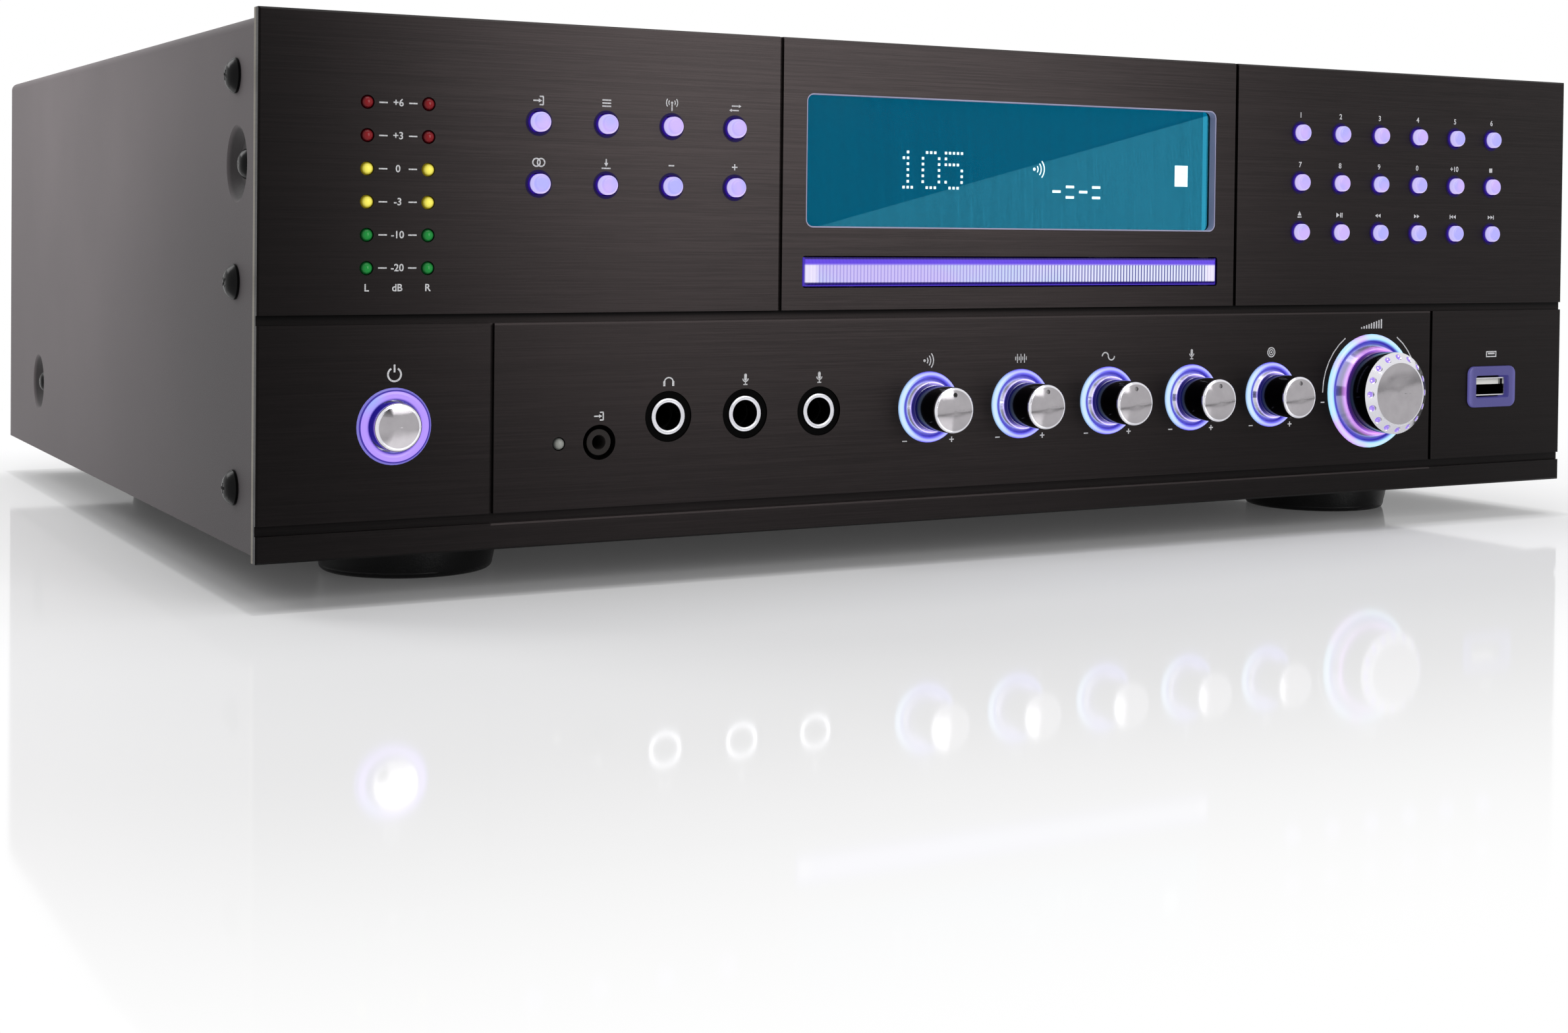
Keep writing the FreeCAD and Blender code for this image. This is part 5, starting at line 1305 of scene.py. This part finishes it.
plus_sign(Sign(marks, x + master_arc_radius, z - master_mark_drop, knob_mark_size))
x, z = middle("usb_socket")
plug_sign(Sign(marks, x, z + usb_sign_rise, sign_size))
printed("control_printing", marks)

# Figures of the display, as dots of five columns and seven rows
figure_dots = {
    "1": ["00100", "01100", "00100", "00100", "00100", "00100", "01110"],
    "0": ["01110", "10001", "10001", "10001", "10001", "10001", "01110"],
    "5": ["11111", "10000", "11110", "00001", "00001", "10001", "01110"],
}
marks = bmesh.new()
for figure, column in zip("105", figure_columns):
    for row, dots in enumerate(figure_dots[figure]):
        level = sill + figure_top - row * dot_pitch * figure_slope_share
        for index, dot in enumerate(dots):
            if dot == "1":
                stroke(marks, column + (index - 2) * dot_pitch, level, dot_size, dot_size)
for column, rises in zip(dash_columns, itertools.cycle((single_dash, double_dash))):
    for rise in rises:
        stroke(marks, column, sill + rise, *dash_size)
echo_sign(Sign(marks, display_sign[0], sill + display_sign[1], display_sign_size))
stroke(marks, display_block[0], sill + display_block[1], *display_block_size)
printed("display_figures", marks, lit_figures(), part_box("display_module")[0].y - ink)


def walled(mesh, outline, depth, wall):
    """Pulls an outline back into a wall."""
    pulled = bmesh.ops.extrude_edge_only(mesh, edges=outline)
    moved = [part for part in pulled["geom"] if isinstance(part, bmesh.types.BMVert)]
    bmesh.ops.translate(mesh, vec=(0, depth, 0), verts=moved)
    walls = touching(moved, "link_faces")
    bmesh.ops.recalc_face_normals(mesh, faces=walls)
    bmesh.ops.solidify(mesh, geom=walls, thickness=wall)


# Liner of the display's opening
liner = bmesh.new()
made = bmesh.ops.create_grid(liner, x_segments=1, y_segments=1, size=0.5)
flat = Matrix.Rotation(quarter_turn, 4, "X") @ Matrix.Diagonal((window_width, window_height, 1, 1))
bmesh.ops.transform(liner, matrix=flat, verts=made["verts"])
bmesh.ops.bevel(liner, geom=made["verts"], offset=liner_corner, segments=liner_corner_steps, profile=0.5,
                affect="VERTICES", material=-1)
outline = [edge for edge in liner.edges if edge.is_boundary]
bmesh.ops.delete(liner, geom=liner.faces[:], context="FACES_ONLY")
walled(liner, outline, window_recess - liner_start, liner_wall)
bmesh.ops.translate(liner, vec=(0, face + liner_start, sill + window_middle), verts=liner.verts)
piece("display_liner", liner, moulding("lilac_liner", tone(156, 154, 184), tone(176, 174, 204), 0.3))

# Wells and dark rims round the push buttons, both with a painted glow of the buttons' light
wells = bmesh.new()
marks = bmesh.new()
for name in selectors + keys:
    x, z = middle(name)
    made = bmesh.ops.create_circle(wells, segments=well_sides, radius=well_radius)
    place = Matrix.Translation((x, face + well_start, z)) @ Matrix.Rotation(quarter_turn, 4, "X")
    bmesh.ops.transform(wells, matrix=place, verts=made["verts"])
    walled(wells, touching(made["verts"], "link_edges"), well_depth - well_start, well_wall)
    arc(marks, x, z, well_radius + rim_width / 2, rim_width, 0, full_turn)
piece("button_wells", wells, indigo("indigo_wells", tone(20, 4, 84), tone(44, 16, 124)))
printed("button_rims", marks, indigo("indigo_rims", tone(12, 2, 50), tone(28, 10, 84)))


# Printing on the rear wall, seen from behind, where u is the other way round from x
def frame_lines(mesh, u0, v0, u1, v1):
    for v in (v0, v1):
        stroke(mesh, (u0 + u1) / 2, v, u1 - u0 + line, line)
    for u in (u0, u1):
        stroke(mesh, u, (v0 + v1) / 2, line, v1 - v0)


marks = bmesh.new()
sockets = [place for name, place in mounts.items() if name.startswith("phono_socket")]
columns = sorted({round(-place.x, place_digits) for place in sockets})
rows = sorted({round(place.z, place_digits) for place in sockets})
frame_top = rows[-1] + rear_frame_margin
frame_right = columns[-1] + rear_frame_margin
frame_lines(marks, columns[0] - rear_frame_margin, rows[0] - rear_frame_margin, frame_right, frame_top)
for index, u in enumerate(columns):
    words(marks, str(index + 1), u, frame_top + rear_figure_height, rear_figure_height)
for caption, v in zip("RL", rows):
    words(marks, caption, frame_right + rear_figure_height, v, rear_figure_height)
low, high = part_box("speaker_terminals")
post_pitch = (high.x - low.x) / terminal_posts
mark_level = low.z - rear_mark_drop
for side, caption in enumerate("LR"):
    start = -high.x + side * 2 * post_pitch
    frame_lines(marks, start + line, mark_level, start + 2 * post_pitch - line, high.z + rear_frame_rise)
    words(marks, caption, start + post_pitch, mark_level - rear_figure_height, rear_figure_height)
    for share, draw in ((0.5, plus_sign), (1.5, minus_sign)):
        draw(Sign(marks, start + share * post_pitch, low.z - rear_mark_drop / 2, rear_sign_size))
low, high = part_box("mains_inlet")
bass_sign(Sign(marks, -(low.x + high.x) / 2, high.z + rear_sign_rise, rear_sign_size))
bmesh.ops.rotate(marks, matrix=Matrix.Rotation(half_turn, 3, "Z"), verts=marks.verts)
printed("rear_printing", marks, depth=back + ink / 2)


# Screws of the rear wall, and dark crosses of painted shade for the recesses of all the screws that show
def screw_head(mesh, x, z):
    made = bmesh.ops.create_cone(mesh, cap_ends=True, segments=rear_screw_sides, radius1=rear_screw_radius,
                                 radius2=rear_screw_radius * rear_screw_taper_share, depth=rear_screw_height)
    edges = touching(made["verts"], "link_edges")
    rim = [edge for edge in edges if all(vert.co.z > 0 for vert in edge.verts)]
    place = Matrix.Translation((x, back + rear_screw_height / 2, z)) @ Matrix.Rotation(-quarter_turn, 4, "X")
    bmesh.ops.transform(mesh, matrix=place, verts=made["verts"])
    bmesh.ops.bevel(mesh, geom=rim, offset=rear_screw_round, segments=rear_screw_round_steps, profile=0.5,
                    affect="EDGES", material=-1)


def recess(mesh, place, outward, turn):
    """Dark cross of painted shade for the recess in the head of a screw whose outer end is here."""
    aim = Matrix.Translation(place) @ outward.to_track_quat("Z", "Y").to_matrix().to_4x4()
    for arm in (0, 1):
        made = bmesh.ops.create_cube(mesh, size=1)
        spin = Matrix.Rotation(turn + arm * quarter_turn, 4, "Z")
        lift = Matrix.Translation((0, 0, -drive_sink - arm * drive_step))
        size = Matrix.Diagonal((drive_length, drive_width, drive_depth, 1))
        bmesh.ops.transform(mesh, matrix=aim @ lift @ spin @ size, verts=made["verts"])


fan_x, fan_z = middle("fan_frame")
wall_x = chassis_high.x - rear_screw_inset
wall_low = chassis_low.z + rear_screw_inset
wall_high = chassis_high.z - rear_screw_inset
wall_rows = (wall_low, (wall_low + wall_high) / 2, wall_high)
fan_half = fan_screw_pitch / 2
rear_screws = [(side * wall_x, z) for side in (-1, 1) for z in wall_rows]
rear_screws += [(0, wall_low), (0, wall_high)]
rear_screws += [(fan_x + across * fan_half, fan_z + up * fan_half) for across in (-1, 1) for up in (-1, 1)]
heads = bmesh.new()
drives = bmesh.new()
for index, (x, z) in enumerate(rear_screws):
    screw_head(heads, x, z)
    recess(drives, Vector((x, back + rear_screw_height, z)), Vector((0, 1, 0)), index * drive_turn)
screw_low, screw_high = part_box("case_screws")
for side, x in ((-1, screw_low.x), (1, screw_high.x)):
    for index, share in enumerate(side_screw_shares):
        z = sill + share * (panel_high.z - sill)
        recess(drives, Vector((x, face + side_screw_y, z)), Vector((side, 0, 0)), index * drive_turn)
piece("rear_screws", heads, black_screw)
piece("screw_recesses", drives, moulding("recess_shade", tone(2, 2, 2), tone(5, 5, 5), 0.6, gloss=0.05))


# Studio: floor, cards, white surroundings and lamps
def floor_finish():
    """Pale floor with a faint sheen, and a painted shadow close round the object. Further out it fades to
    plain white in all that shows it.
    """
    finish = new_finish("studio_floor")
    shown = finish.shown()
    x, y, _ = finish.axes()
    beside = finish.math("MAXIMUM", abs(x) - panel_high.x, 0)
    ahead = finish.math("MAXIMUM", abs(y) + face, 0)
    distance = finish.span(beside, ahead)
    colour = finish.mix(finish.noise(6), tone(244, 244, 245), tone(249, 249, 250))
    matt = finish.node("ShaderNodeBsdfDiffuse", {"Color": colour})
    # Painted contact shadow: under the object and close round it, the floor's lift is less
    left_reach, right_reach = painted_shadow_reaches
    reach = left_reach + finish.fade(x, panel_low.x, panel_high.x) * (right_reach - left_reach)
    under = (painted_shadow_under_share, painted_shadow_under_share, painted_shadow_under_share, 1)
    lift = finish.mix(finish.fade(distance / reach, 0, 1), under, white)
    near = finish.node("ShaderNodeAddShader", {0: matt, 1: finish.emission(lift, shown * floor_lift_share)})
    base = finish.blend(finish.fade(distance, *floor_fade) * shown, near, finish.emission(white, 1.0))
    gloss = finish.node("ShaderNodeBsdfGlossy", {"Color": white, "Roughness": 0.06})
    return finish.output(finish.blend(finish.fade(distance, *sheen_fade) * sheen_share, base, gloss))


def card_finish():
    """Black on the side that faces up or towards the object, and clear from behind."""
    finish = new_finish("card_black")
    behind = finish.node("ShaderNodeNewGeometry", result="Backfacing")
    dark = finish.node("ShaderNodeBsdfDiffuse", {"Color": tone(25, 25, 26)})
    return finish.output(finish.blend(behind, dark, finish.node("ShaderNodeBsdfTransparent")))


ground = bmesh.new()
bmesh.ops.create_grid(ground, x_segments=1, y_segments=1, size=floor_size / 2)
bmesh.ops.translate(ground, vec=(0, 0, -floor_drop), verts=ground.verts)
ground_object = dressed("studio_floor", ground, floor_finish())

dark_cards = bmesh.new()
for low, high in cards:
    made = bmesh.ops.create_grid(dark_cards, x_segments=1, y_segments=1, size=0.5)
    width, depth, height = high - low
    stand = Matrix.Rotation(-quarter_turn if height else 0, 4, "X")
    size = Matrix.Diagonal((width, depth or height, 1, 1))
    place = Matrix.Translation((low + high) / 2) @ stand @ size
    bmesh.ops.transform(dark_cards, matrix=place, verts=made["verts"])
card_object = dressed("studio_cards", dark_cards, card_finish())
card_object.visible_camera = False
card_object.visible_diffuse = False
card_object.visible_shadow = False
card_object.visible_transmission = False

world = bpy.data.worlds.new("studio")
bpy.context.scene.world = world
air = Finish(world)
strength = ambient_share + air.shown() * (1 - ambient_share)
light = air.node("ShaderNodeBackground", {"Color": white, "Strength": strength})
air.node("ShaderNodeOutputWorld", {"Surface": light})

for name, place, size, power in lamps:
    lamp = bpy.data.lights.new(name, "AREA")
    lamp.size = size
    lamp.energy = power
    holder = linked(name, lamp)
    holder.location = place
    holder.rotation_euler = (lamp_target - place).to_track_quat("-Z", "Y").to_euler()

# Camera
ahead = Vector((
    math.sin(camera_turn) * math.cos(camera_tilt),
    math.cos(camera_turn) * math.cos(camera_tilt),
    math.sin(camera_tilt),
))
right = Vector((math.cos(camera_turn), -math.sin(camera_turn), 0))
up = right.cross(ahead)
rolled_right = right * math.cos(camera_roll) + up * math.sin(camera_roll)
rolled_up = up * math.cos(camera_roll) - right * math.sin(camera_roll)
turn = Matrix((rolled_right, rolled_up, -ahead)).transposed()
camera = bpy.data.cameras.new("camera")
camera.lens = camera_lens
camera.sensor_fit = "HORIZONTAL"
camera.shift_x, camera.shift_y = camera_shift_share
camera.clip_start, camera.clip_end = camera_clip
camera_holder = linked("camera", camera)
camera_holder.matrix_world = Matrix.Translation(camera_place) @ turn.to_4x4()
bpy.context.scene.camera = camera_holder
bpy.context.scene.view_settings.view_transform = "Standard"
